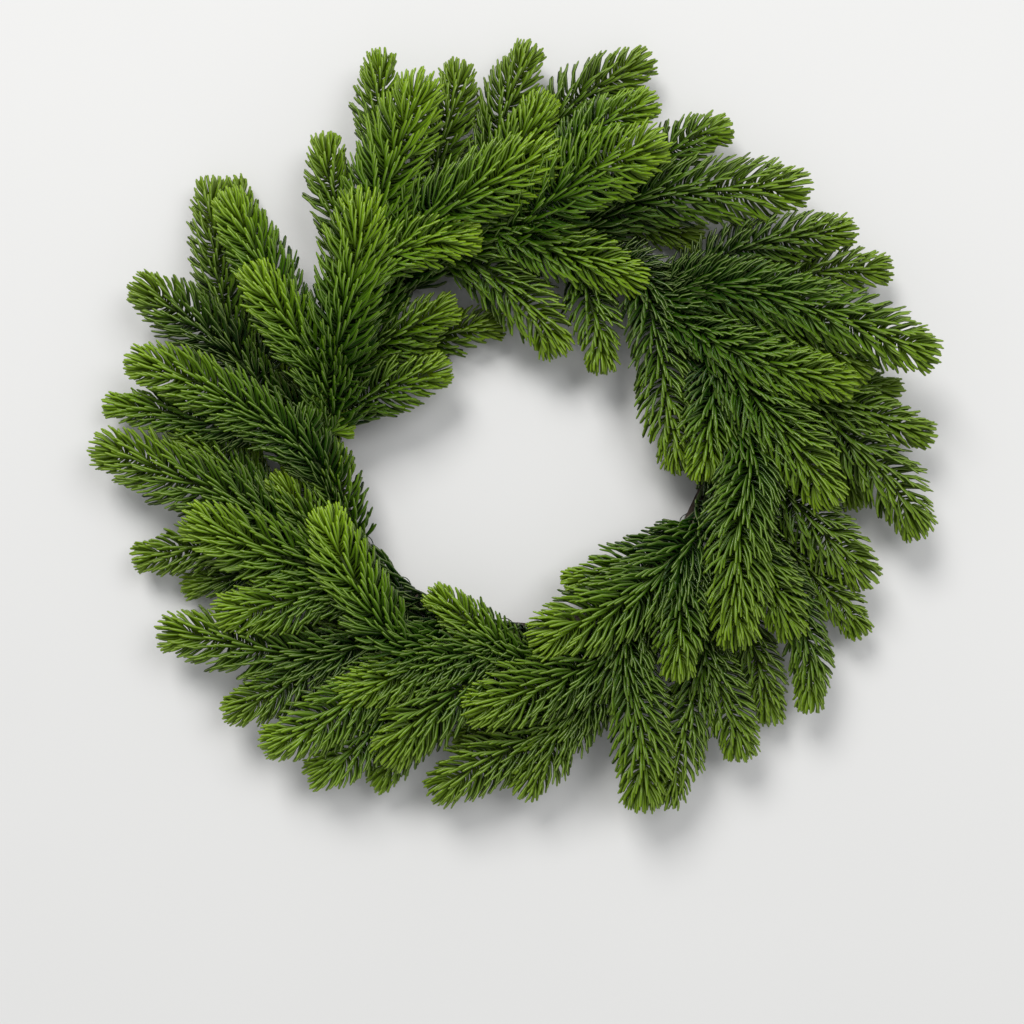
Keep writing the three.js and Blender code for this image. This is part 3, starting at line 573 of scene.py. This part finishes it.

# %% [markdown]
# ## Needles
#
# As on a real fir the needles are combed to both sides and over the twig, from somewhat below it to straight
# above it. Steps of the golden ratio share out their heights, so that no needle lies right on another. Those
# on top are shorter and cover the twig, the lowest ones are painted darker as shade, and near the tip all
# close in to a rounded brush. A particle system could scatter needles, but a rule says exactly how they are
# combed.

# %% Where the needles go
NEEDLE_SPACINGS = {1: 0.00074, 2: 0.00069, 3: 0.00063, 4: 0.00059, 5: 0.00057}
GOLDEN_RATIO = (1 + math.sqrt(5)) / 2
GOLDEN_ANGLE = FULL_TURN / GOLDEN_RATIO**2
COMBED_BETWEEN = (math.radians(-24), math.radians(90))
HEIGHT_SCATTER = 0.04
WIDEST_LEAN = math.radians(63)
LEAN_SCATTER = math.radians(5.5)
REACH_SHARE = 0.98
NEEDLE_LENGTHS = (0.86, 1.04)
COVERING_FROM = math.radians(40)
COVERING_LEAN_SHARE = 0.9
COVERING_LENGTH_SHARE = 0.68
SHADED_UP_TO = math.radians(22)
TIP_CLOSING = math.radians(10)
TIP_SHORTENING = 0.3
CLOSING_LENGTH = 0.042
END_NEEDLES = 24
END_LEANS = (math.radians(3), math.radians(40))
END_LENGTHS = (0.92, 1.03)
END_STRETCH = 0.003

random = np.random.default_rng(24)


def whole_layer(shoot):
    return int(shoot["layer"] + 0.5)


def side_lean(shoot):
    reach = shoot["half_width"] * PIXEL / (shoot["needle"] * REACH_SHARE)
    return min(math.asin(min(reach, 1.0)), WIDEST_LEAN)


def needle_places(shoot):
    spacing = NEEDLE_SPACINGS[whole_layer(shoot)]
    count = int((shoot["length"] - shoot["bare"]) / spacing)
    index = np.arange(count)
    at = shoot["bare"] + spacing * (index + random.uniform(0, 1, count))
    height = (index * GOLDEN_RATIO + random.uniform(-HEIGHT_SCATTER, HEIGHT_SCATTER, count)) % 1
    raised = COMBED_BETWEEN[0] + (COMBED_BETWEEN[1] - COMBED_BETWEEN[0]) * height
    around = np.where(index % 2, math.pi - raised, raised)
    closing = smoothstep(at, shoot["length"] - CLOSING_LENGTH, shoot["length"])
    covering = smoothstep(raised, COVERING_FROM, COMBED_BETWEEN[1])
    lean = side_lean(shoot) * (1 - (1 - COVERING_LEAN_SHARE) * covering)
    lean = lean - TIP_CLOSING * closing + random.normal(0, LEAN_SCATTER, count)
    length = shoot["needle"] * random.uniform(*NEEDLE_LENGTHS, count) * (1 - TIP_SHORTENING * closing)
    length = length * (1 - (1 - COVERING_LENGTH_SHARE) * covering * (1 - closing))
    # Painted shade: the lowest needles get a share of it, and none near the tip do.
    shaded = (1 - smoothstep(raised, COMBED_BETWEEN[0], SHADED_UP_TO)) * (1 - closing)
    end_turn = GOLDEN_ANGLE * np.arange(END_NEEDLES)
    end_share = np.sqrt((np.arange(END_NEEDLES) + 0.5) / END_NEEDLES)
    end_lean = END_LEANS[0] + (END_LEANS[1] - END_LEANS[0]) * end_share
    end_length = shoot["needle"] * (1 - TIP_SHORTENING) * random.uniform(*END_LENGTHS, END_NEEDLES)
    at = np.concatenate([at, shoot["length"] - random.uniform(0, END_STRETCH, END_NEEDLES)])
    pairs = ((around, end_turn), (lean, end_lean), (length, end_length), (shaded, np.zeros(END_NEEDLES)))
    return at, *[np.concatenate(pair) for pair in pairs]


print("the first shoot's side needles lean", round(math.degrees(side_lean(shoots[0]))), "degrees")

# %% [markdown]
# ## The line of a needle
#
# A needle leaves the twig at a wide angle and bends forward, towards the tip. Its middle line starts in the
# bark, goes towards a knee and ends at its tip, and those three points make the curve. No two bend or sway
# quite the same. Near a bound foot, needles that would reach into the wreath's open middle are left out.

# %% Grow the needles
FLATTENING = 0.5
LEAST_LEAN = math.radians(3)
FORWARD_BEND = math.radians(31)
BEND_SCATTER = math.radians(9)
SWAY = 0.0011
ROOT_DEPTH_SHARE = 0.7
KNEE_SHARE = 0.5
FACE_UP, FACE_OUT, FACE_SCATTER = 0.8, 0.6, 0.2
LOWEST_NEEDLE = 0.001
PRESSED_LENGTH = 0.055
PRESSED_REACH = 0.009


def grow_needles(shoot):
    at, around, lean, length, shaded = needle_places(shoot)
    lean = np.maximum(lean, LEAST_LEAN)
    centre, tangent, up, side, radius = frames_along(shoot, at)
    outwards = side * np.cos(around)[:, None] + up * (np.sin(around) * FLATTENING)[:, None]

    def towards(angle):
        return normalised(tangent * np.cos(angle)[:, None] + outwards * np.sin(angle)[:, None])

    foot = centre + normalised(outwards) * radius[:, None] * ROOT_DEPTH_SHARE
    tip = foot + towards(lean) * length[:, None]
    bend = FORWARD_BEND + random.normal(0, BEND_SCATTER, len(lean))
    sway = np.cross(tangent, normalised(outwards)) * random.normal(0, SWAY, len(lean))[:, None]
    knee = foot + towards(lean + bend) * (length * KNEE_SHARE)[:, None] + sway
    tip[:, 2] = np.maximum(tip[:, 2], LOWEST_NEEDLE)
    knee[:, 2] = np.maximum(knee[:, 2], LOWEST_NEEDLE)
    stray = (at < PRESSED_LENGTH) & (np.hypot(*tip[:, :2].T) < RING_RADIUS - PRESSED_REACH)
    face = FACE_UP * up + FACE_OUT * normalised(outwards) + random.normal(0, FACE_SCATTER, up.shape)
    face = normalised(face)
    kept = ~stray if shoot["parent"] is None else np.ones(len(at), dtype=bool)
    young = (at - shoot["bare"]) / (shoot["length"] - shoot["bare"])
    return foot[kept], knee[kept], tip[kept], face[kept], young[kept], shaded[kept]


first_feet, *_ = grow_needles(shoots[0])
print("needles on the first shoot:", len(first_feet))

# %% [markdown]
# ## The body of a needle
#
# A real needle is a little flattened, narrow at its foot, widest past its middle and blunt at its end. Four
# rings of six corners and one corner at the tip are enough for that, and few enough for twenty thousand
# needles. Each has a thickness of its own. The shaded ones are broader, which fills the gaps between others.

# %% Shape the needles
NEEDLE_THICKNESSES = (0.86, 1.14)
SHADED_BROADER_BY = 0.4
NEEDLE_HALF_WIDTH = 0.00124
NEEDLE_HALF_THICKNESS = 0.0009
NEEDLE_RINGS = np.array([0.0, 0.3, 0.75, 0.965])
RING_WIDTHS = np.array([0.5, 0.92, 1.0, 0.7])
NEEDLE_SIDES = 6


def needle_points(foot, knee, tip, face, shaded):
    count, rings = len(foot), len(NEEDLE_RINGS)
    t = NEEDLE_RINGS[None, :, None]
    foot, knee, tip = foot[:, None], knee[:, None], tip[:, None]
    line = (1 - t) ** 2 * foot + 2 * t * (1 - t) * knee + t**2 * tip
    tangent = normalised((1 - t) * (knee - foot) + t * (tip - knee))
    across = normalised(np.cross(tangent, np.broadcast_to(face[:, None], tangent.shape)))
    normal = np.cross(across, tangent)
    angle = np.arange(NEEDLE_SIDES) * FULL_TURN / NEEDLE_SIDES
    plump = random.uniform(*NEEDLE_THICKNESSES, count)[:, None, None, None]
    broader = (1 + SHADED_BROADER_BY * shaded)[:, None, None, None]
    wide = NEEDLE_HALF_WIDTH * RING_WIDTHS[None, :, None, None] * plump * broader
    thick = NEEDLE_HALF_THICKNESS * RING_WIDTHS[None, :, None, None] * plump
    corners = line[:, :, None] + across[:, :, None] * wide * np.cos(angle)[None, None, :, None]
    corners = corners + normal[:, :, None] * thick * np.sin(angle)[None, None, :, None]
    return corners.reshape(count * rings * NEEDLE_SIDES, 3), tip[:, 0]


print("corners of a needle:", len(NEEDLE_RINGS) * NEEDLE_SIDES + 1)

# %% [markdown]
# ## Shader maths as Python
#
# A material is a small calculation for every point of a surface. Blender draws it as nodes and wires, which
# soon becomes hard to read. The class below wraps one output socket, so that `1 - mask` or `noise * 0.3`
# adds the Math node itself.

# %% A socket that can be calculated with
class Value:
    def __init__(self, tree, socket):
        self.tree, self.socket = tree, socket

    def math(self, operation, *others):
        inputs = {index: other for index, other in enumerate([self, *others])}
        return self.tree.node("ShaderNodeMath", {"operation": operation}, inputs)

    def __add__(self, other):
        return self.math("ADD", other)

    def __sub__(self, other):
        return self.math("SUBTRACT", other)

    def __mul__(self, other):
        return self.math("MULTIPLY", other)

    def __pow__(self, other):
        return self.math("POWER", other)

    def __rsub__(self, other):
        return self.tree.node("ShaderNodeMath", {"operation": "SUBTRACT"}, {0: other, 1: self})

    __radd__, __rmul__ = __add__, __mul__


print("reflected operators:", [name for name in vars(Value) if name.startswith("__r")])

# %% [markdown]
# ## Materials and colours
#
# Every node comes from `node`: its kind, its settings, then the values or links of its inputs. Colours go
# through a Mix node, and `finish` feeds the shader. A colour is written as its screen code, which a picture
# program shows too, and `colour` turns that into the linear numbers that light is reckoned in.

# %% Build nodes
class Material:
    def __init__(self, name):
        self.made = bpy.data.materials.new(name)
        self.made.use_nodes = True
        self.nodes, self.links = self.made.node_tree.nodes, self.made.node_tree.links
        self.shader = self.nodes["Principled BSDF"]

    def put(self, socket, value):
        if isinstance(value, Value):
            self.links.new(value.socket, socket)
        else:
            socket.default_value = value

    def node(self, kind, settings=None, inputs=None, output=0):
        made = self.nodes.new(kind)
        for key, value in (settings or {}).items():
            setattr(made, key, value)
        for key, value in (inputs or {}).items():
            self.put(made.inputs[key], value)
        return Value(self, made.outputs[output])

    def number(self, name):
        return self.node("ShaderNodeAttribute", {"attribute_name": name}, output="Fac")

    def mix(self, share, one, two):
        return self.node("ShaderNodeMix", {"data_type": "RGBA"}, {0: share, 6: one, 7: two}, output=2)

    def finish(self, **inputs):
        for key, value in inputs.items():
            self.put(self.shader.inputs[key.replace("_", " ")], value)
        return self.made


def colour(code):
    parts = [int(code[i : i + 2], 16) / 255 for i in (1, 3, 5)]
    return (*[part / 12.92 if part <= 0.04045 else ((part + 0.055) / 1.055) ** 2.4 for part in parts], 1)


print("a leaf green in linear numbers:", np.round(colour("#3f7a1f"), 3).tolist())

# %% [markdown]
# ## The needles' colours, with painted shade and a painted highlight
#
# Young fir needles are yellow-green at their ends. Shade is painted on them as colour: darker towards the
# feet of the needles, where they shade each other, darker near the foot of each shoot, on the lowest needles
# and along each needle's sides. No two have quite the same green. Their skin is waxy, with a faint narrow
# glint, and a paler line painted on the upper and the lower face stands for a highlight. Each layer of the
# wreath has its own greens, painted darker towards the back as shade, and towards the lower right a cooler,
# darker green is painted as shade. A corner carries these numbers: how far `along` its needle it is, a
# number of the needle's `own`, whether it is on the needle's `edge` or on its painted highlight line, how far
# up the twig and so how `young` the needle is, how far it is `shaded` by those above it, which sets painted
# shade, and its share of the painted shade towards the lower right.

# %% Needle material
# The cooler, darker greens of the painted shade towards the lower right, and the colour of the painted
# highlight.
LOWER_RIGHT_SHADE_BODY, LOWER_RIGHT_SHADE_TIP, PAINTED_HIGHLIGHT = "#264b0a", "#82a01e", "#aebd7c"


def needle_material(name, foot, body, tip, cool):
    material = Material(name)
    along = material.number("along")
    own = material.number("own")
    lower_right_shade = material.number("lower_right_shade")
    edge = material.number("edge")
    painted_highlight_line = material.number("painted_highlight_line")
    young = material.number("young")
    shaded = material.number("shaded")
    spot = material.node("ShaderNodeTexCoord", output="Object")
    mottle = material.node("ShaderNodeTexNoise", {}, {"Vector": spot, "Scale": 60.0, "Detail": 2.0})
    fine = material.node("ShaderNodeTexNoise", {}, {"Vector": spot, "Scale": 900.0, "Detail": 1.0})
    # The darkest green of the layer: the colour of the painted shade, and of the mottling.
    dark = colour(foot)
    green = material.mix(own, colour(body), colour(cool))
    # Painted shade: towards the lower right the greens turn cooler and darker.
    green = material.mix(lower_right_shade, green, colour(LOWER_RIGHT_SHADE_BODY))
    lit = material.mix(lower_right_shade, colour(tip), colour(LOWER_RIGHT_SHADE_TIP))
    # Painted shade: each needle is darker towards its foot.
    painted_needle_foot_shade = (1 - along) ** 2.0
    fresh = young**2.5 * 0.4 + along**3.0 * 0.35
    # Painted shade: needles near the foot of a shoot, where it dips under other sprays, go nearly to the
    # shade colour.
    painted_shoot_foot_shade = (1 - young) ** 1.4 * 0.92
    # Painted shade on the lowest needles, round the underside of the twig.
    painted_underside_shade = shaded * 0.92
    # Painted highlight: a pale line along the upper and the lower face of each needle, strongest towards its
    # tip.
    painted_highlight_share = painted_highlight_line**6.0 * along * 0.95
    dull = (mottle - 0.35) * 0.5
    # Painted shade: each needle is darker along its two sides.
    painted_side_shade = (edge - 0.5) * 1.1
    green = material.mix(painted_needle_foot_shade, green, dark)
    green = material.mix(fresh, green, lit)
    green = material.mix(painted_shoot_foot_shade, green, dark)
    green = material.mix(painted_underside_shade, green, dark)
    green = material.mix(painted_highlight_share, green, colour(PAINTED_HIGHLIGHT))
    green = material.mix(dull, green, dark)
    green = material.mix(painted_side_shade, green, dark)
    bump = material.node("ShaderNodeBump", {}, {"Strength": 0.15, "Distance": 0.0003, "Height": fine})
    return material.finish(
        Base_Color=green,
        Roughness=0.22 + 0.16 * mottle,
        Normal=bump,
        Specular_IOR_Level=0.06,
        Coat_Weight=0.2,
        Coat_Roughness=0.12,
    )


# Each layer: its shade colour (also used for mottling), body, tip and a cooler green for single needles. The
# greens are painted darker towards the back layers as shade.
LAYER_GREENS_SHADED_TO_BACK = {
    1: ("#011402", "#2c5a02", "#839d1a", "#234f05"),
    2: ("#011602", "#315f02", "#88a41c", "#285605"),
    3: ("#021902", "#376702", "#8daa1c", "#2e5f05"),
    4: ("#021e02", "#3f7203", "#93b11e", "#366905"),
    5: ("#032302", "#487c03", "#9ab820", "#3d7405"),
}
layer_needle_materials = {
    layer: needle_material(f"needles_layer_{layer}", foot, body, tip, cool)
    for layer, (foot, body, tip, cool) in LAYER_GREENS_SHADED_TO_BACK.items()
}
print("needle finishes:", len(layer_needle_materials))

# %% [markdown]
# ## The twigs' finish
#
# This year's wood is still green-brown and dull, with a small scar where each needle sits. A fine cell
# pattern gives the scars, and a bump follows it.

# %% Twig material
GREEN_WOOD, BROWN_WOOD, SCAR = "#3a5514", "#404c17", "#26370e"


def twig_material():
    material = Material("twig_bark")
    spot = material.node("ShaderNodeTexCoord", output="Object")
    scars = material.node("ShaderNodeTexVoronoi", {}, {"Vector": spot, "Scale": 700.0})
    patches = material.node("ShaderNodeTexNoise", {}, {"Vector": spot, "Scale": 90.0, "Detail": 3.0})
    scarred = scars * 0.8
    wood = material.mix(patches, colour(GREEN_WOOD), colour(BROWN_WOOD))
    wood = material.mix(scarred, wood, colour(SCAR))
    bump = material.node("ShaderNodeBump", {}, {"Strength": 0.5, "Distance": 0.0004, "Height": scars})
    return material.finish(Base_Color=wood, Roughness=0.75 + 0.1 * patches, Normal=bump)


twig_finish = twig_material()
print("twig finish:", twig_finish.name)

# %% [markdown]
# ## The parts of a spray
#
# A shoot is a tapering round twig and its needles. Both parts come as corners, faces and the numbers that the
# corners carry for the finish. A twig has the same numbers, all of them nought, so the parts can be joined.

# %% Twigs and needles as parts
TWIG_SIDES = 8
TWIG_STEP = 0.004
LEAST_TWIG_RINGS = 3
TWIG_END_SHARE = 0.4
CORNER_NUMBERS = ("along", "own", "edge", "painted_highlight_line", "young", "shaded")
NEEDLE_EDGE = np.abs(np.cos(np.arange(NEEDLE_SIDES) * FULL_TURN / NEEDLE_SIDES))
# The two corners of each ring of a needle that carry its painted highlight line.
NEEDLE_HIGHLIGHT_CORNERS = np.array([0.0, 1.0, 0.0, 0.0, 1.0, 0.0])


def twig_part(shoot):
    rings = max(LEAST_TWIG_RINGS, int(shoot["length"] / TWIG_STEP))
    distances = np.linspace(0, shoot["length"], rings)
    centre, _, up, side, radius = frames_along(shoot, distances)
    radius[-1] *= TWIG_END_SHARE
    angle = np.arange(TWIG_SIDES) * FULL_TURN / TWIG_SIDES
    ring = side[:, None] * np.cos(angle)[None, :, None] + up[:, None] * np.sin(angle)[None, :, None]
    points = (centre[:, None] + ring * radius[:, None, None]).reshape(-1, 3)
    numbers = dict.fromkeys(CORNER_NUMBERS, np.zeros(len(points)))
    return points, tube_faces(1, rings, TWIG_SIDES), NO_TRIANGLES, numbers


def needle_part(shoot):
    foot, knee, tip, face, young, shaded = grow_needles(shoot)
    corners, ends = needle_points(foot, knee, tip, face, shaded)
    count, rings = len(foot), len(NEEDLE_RINGS)
    own = random.uniform(0, 1, count)
    last_ring = (np.arange(count)[:, None] + 1) * rings * NEEDLE_SIDES - NEEDLE_SIDES
    corner = np.arange(NEEDLE_SIDES)[None]
    end = np.broadcast_to(len(corners) + np.arange(count)[:, None], (count, NEEDLE_SIDES))
    caps = np.stack([last_ring + corner, last_ring + (corner + 1) % NEEDLE_SIDES, end], -1)

    def along_each(pattern, at_end):
        return np.concatenate([np.tile(pattern, count), np.full(count, at_end)])

    def same_on_each(values):
        return np.concatenate([np.repeat(values, rings * NEEDLE_SIDES), values])

    numbers = {
        "along": along_each(np.repeat(NEEDLE_RINGS, NEEDLE_SIDES), 1.0),
        "own": same_on_each(own),
        "edge": along_each(np.tile(NEEDLE_EDGE, rings), 0.5),
        "painted_highlight_line": along_each(np.tile(NEEDLE_HIGHLIGHT_CORNERS, rings), 0.0),
        "young": same_on_each(young),
        "shaded": same_on_each(shaded),
    }
    points = np.vstack([corners, ends])
    return points, tube_faces(count, rings, NEEDLE_SIDES), caps.reshape(-1, 3), numbers


first_twig, *_ = twig_part(shoots[0])
print("corners of the first twig:", len(first_twig))

# %% [markdown]
# ## Build the sprays
#
# A spray was cut from the tree as one piece, so it is one mesh: first its twigs, then the needles of all its
# shoots, with both finishes on it. The frame gives the ring's middle, so it lies where its plain solid does.

# %% Spray meshes
LOWER_RIGHT_SHADE_FROM, LOWER_RIGHT_SHADE_TO = -0.10, 0.30
MOST_LOWER_RIGHT_SHADE = 0.75


def join_parts(parts):
    points, quads, triangles, numbers = zip(*parts)
    firsts = np.cumsum([0, *[len(each) for each in points[:-1]]])
    quads = [each + first for each, first in zip(quads, firsts)]
    triangles = [each + first for each, first in zip(triangles, firsts)]
    joined = {key: np.concatenate([each[key] for each in numbers]) for key in CORNER_NUMBERS}
    return np.vstack(points), np.vstack(quads), np.vstack(triangles), joined


def spray_mesh(index):
    own_shoots = [shoot for shoot in shoots if shoot["spray"] == index]
    twigs = [twig_part(shoot) for shoot in own_shoots]
    needles = [needle_part(shoot) for shoot in own_shoots]
    points, quads, triangles, numbers = join_parts([*twigs, *needles])
    # The share of painted shade grows towards the wreath's lower right.
    towards_lower_right = (points[:, 0] - points[:, 1]) / math.sqrt(2)
    numbers["lower_right_shade"] = MOST_LOWER_RIGHT_SHADE * smoothstep(towards_lower_right, LOWER_RIGHT_SHADE_FROM, LOWER_RIGHT_SHADE_TO)
    layer = whole_layer(own_shoots[0])
    name = f"needles_{index + 1:02d}"
    made = add_mesh(name, points, quads, triangles, numbers, layer_needle_materials[layer])
    made.data.materials.append(twig_finish)
    bark_faces = sum(len(faces) for _, faces, _, _ in twigs)
    finish_index = np.zeros(len(made.data.polygons), dtype=np.int32)
    finish_index[:bark_faces] = 1
    made.data.polygons.foreach_set("material_index", finish_index)
    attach(made, "root")
    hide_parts(f"spray_{index + 1:02d}")
    return made, len(triangles) // NEEDLE_SIDES


def triangle_count(thing):
    sizes = np.zeros(len(thing.data.polygons), dtype=np.int32)
    thing.data.polygons.foreach_get("loop_total", sizes)
    return int(np.sum(sizes - 2))


sprays, needle_counts = zip(*[spray_mesh(index) for index in range(len(SPRAYS))])
counts = [triangle_count(spray) for spray in sprays]
print("sprays:", len(sprays), "needles:", sum(needle_counts))
print("triangles:", sum(counts), "most in one:", max(counts))

# %% [markdown]
# ## The canes' finish
#
# The ring is of dark vine, twisted while green. Its bark is rough and nearly black where it shows between
# the sprays. One fine noise darkens it in flecks and roughens it. A picture of bark could be wrapped round
# it instead, but that would show a seam.

# %% Vine bark
DARK_BARK, WORN_BARK, FLECK = "#2a211b", "#4b3c31", "#17120f"


def cane_material():
    material = Material("vine_bark")
    spot = material.node("ShaderNodeTexCoord", output="Object")
    grain = {"Vector": spot, "Scale": 420.0, "Detail": 6.0, "Roughness": 0.7}
    fibres = material.node("ShaderNodeTexNoise", {}, grain)
    patches = material.node("ShaderNodeTexNoise", {}, {"Vector": spot, "Scale": 45.0, "Detail": 3.0})
    flecked = (fibres - 0.3) * 1.2
    bark = material.mix(patches, colour(DARK_BARK), colour(WORN_BARK))
    bark = material.mix(flecked, bark, colour(FLECK))
    bump = material.node("ShaderNodeBump", {}, {"Strength": 0.9, "Distance": 0.0008, "Height": fibres})
    return material.finish(Base_Color=bark, Roughness=0.8 + 0.15 * fibres, Normal=bump)


cane_finish = cane_material()
print("cane finish:", cane_finish.name)

# %% [markdown]
# ## The canes
#
# Each cane is a tube along its twisted line, with a radius that swells and shrinks at knots. The swellings
# are a few waves along the cane, each with its own count of lobes round it. A curve with a bevel would be
# quicker to make, but as smooth as a pipe.

# %% Canes
VISIBLE_STEPS = 560
CANE_SIDES = 14
KNOT_HEIGHT = 0.09
KNOT_WAVES = ((31, 1), (53, 2), (97, 3), (140, 1))


def closed_tube(name, line, middles, radius, sides, material):
    tangent = normalised(np.roll(line, -1, axis=0) - np.roll(line, 1, axis=0))
    towards = line - middles
    up = normalised(towards - tangent * np.sum(towards * tangent, axis=1, keepdims=True))
    side = np.cross(tangent, up)
    angle = np.arange(sides) * FULL_TURN / sides
    ring = up[:, None] * np.cos(angle)[None, :, None] + side[:, None] * np.sin(angle)[None, :, None]
    points = (line[:, None] + ring * radius).reshape(-1, 3)
    points[:, 2] = np.maximum(points[:, 2], 0.0)
    quads = tube_faces(1, len(line) + 1, sides) % len(points)
    return add_mesh(name, points, quads, NO_TRIANGLES, {}, material)


def knotted_radius(cane):
    turn = (np.arange(VISIBLE_STEPS) * FULL_TURN / VISIBLE_STEPS)[:, None]
    angle = (np.arange(CANE_SIDES) * FULL_TURN / CANE_SIDES)[None]
    waves = [
        np.sin(wave * turn + cane * wave) * np.cos(lobes * angle + wave)
        for wave, lobes in KNOT_WAVES
    ]
    return (CANE_RADIUS * (1 + KNOT_HEIGHT / len(KNOT_WAVES) * sum(waves)))[:, :, None]


middles = bundle_point(np.arange(VISIBLE_STEPS) * FULL_TURN / VISIBLE_STEPS, 0, 0)
for index in range(CANE_COUNT):
    line = cane_line(index, VISIBLE_STEPS)
    name = f"cane_{index + 1}"
    cane = closed_tube(name, line, middles, knotted_radius(index), CANE_SIDES, cane_finish)
    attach(cane, "root")
    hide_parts(f"ring_cane_{index + 1}")
print("canes:", CANE_COUNT, "triangles each:", triangle_count(cane))

# %% [markdown]
# ## The binding wire
#
# Florist's wire is thin iron under green enamel. It shows between the sprays only here and there.

# %% Wire
FINE_WIRE_SIDES = 6
FINE_WIRE_STEPS = 4
ENAMEL, RUBBED = "#2c3f24", "#4a5244"


def wire_material():
    material = Material("green_enamel")
    spot = material.node("ShaderNodeTexCoord", output="Object")
    wear = material.node("ShaderNodeTexNoise", {}, {"Vector": spot, "Scale": 150.0, "Detail": 4.0})
    rubbed = (wear - 0.45) * 2.0
    enamel = material.mix(rubbed, colour(ENAMEL), colour(RUBBED))
    return material.finish(Base_Color=enamel, Roughness=0.35 + 0.2 * wear, Metallic=0.4)


fine_wire = smooth_line(np.vstack([wire, wire[:1]]), FINE_WIRE_STEPS)[:-1]
wire_turn = np.arange(len(fine_wire)) * FULL_TURN / len(fine_wire)
wire_middles = bundle_point(wire_turn, 0, 0)
wire_piece = closed_tube("wire", fine_wire, wire_middles, WIRE_RADIUS, FINE_WIRE_SIDES, wire_material())
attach(wire_piece, "root")
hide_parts("binding_wire")
print("wire triangles:", triangle_count(wire_piece))

# %% [markdown]
# ## Floor, light and camera
#
# The wreath lies on its back on a plain pale floor. One wide soft light stands high towards the wreath's top
# and left, a weaker one fills from the other side, and a pale sky keeps the shadows open. The camera looks
# straight down from 1.2 m, with its middle a little below the ring's middle, as the wreath was seen.

# %% Floor
DULL_PAINT, CLEAN_PAINT = (0.74, 0.74, 0.735, 1), (0.77, 0.77, 0.765, 1)
FLOOR_HALF = 30.0


def floor_material():
    material = Material("pale_floor")
    spot = material.node("ShaderNodeTexCoord", output="Object")
    tone = material.node("ShaderNodeTexNoise", {}, {"Vector": spot, "Scale": 3.0, "Detail": 2.0})
    paint = material.mix(tone, DULL_PAINT, CLEAN_PAINT)
    return material.finish(Base_Color=paint, Roughness=0.7)


corners = np.array([[-1, -1, 0], [1, -1, 0], [1, 1, 0], [-1, 1, 0]]) * FLOOR_HALF
floor = add_mesh("floor", corners, np.array([[0, 1, 2, 3]]), NO_TRIANGLES, {}, floor_material())
print("floor:", 2 * FLOOR_HALF, "m wide")

# %% Lights
def add_light(name, place_at, size, power, tint):
    light = bpy.data.lights.new(name, "AREA")
    light.shape, light.size, light.energy, light.color = "SQUARE", size, power, tint
    made = bpy.data.objects.new(name, light)
    made.location = place_at
    direction = -made.location
    made.rotation_euler = direction.to_track_quat("-Z", "Y").to_euler()
    bpy.context.scene.collection.objects.link(made)


add_light("key", (-1.9, 4.3, 4.5), size=2.8, power=300, tint=(1.0, 0.99, 0.97))
add_light("fill", (2.6, 1.8, 4.6), size=3.0, power=105, tint=(1.0, 1.0, 1.0))
world = bpy.data.worlds.new("sky")
world.use_nodes = True
sky = world.node_tree.nodes["Background"].inputs
sky["Color"].default_value = (0.98, 0.99, 1.0, 1)
sky["Strength"].default_value = 0.39
bpy.context.scene.world = world
bpy.context.scene.view_settings.view_transform = "Standard"

# %% Camera
VIEW_PIXELS = 1024
SENSOR_WIDTH = 36.0
camera_data = bpy.data.cameras.new("camera")
camera_data.sensor_width = SENSOR_WIDTH
camera_data.lens = SENSOR_WIDTH * EYE_HEIGHT / (VIEW_PIXELS * PIXEL)
camera = bpy.data.objects.new("camera", camera_data)
camera.location = ring_middle + place(VIEW_MIDDLE, VIEW_MIDDLE, 0) + np.array([0, 0, EYE_HEIGHT])
bpy.context.scene.collection.objects.link(camera)
bpy.context.scene.camera = camera
print("camera over", np.round(camera.location[:], 4).tolist(), "lens", round(camera_data.lens, 1))

# %% [markdown]
# ## The space it fills
#
# The dressed wreath has to fill the same space as its solids.
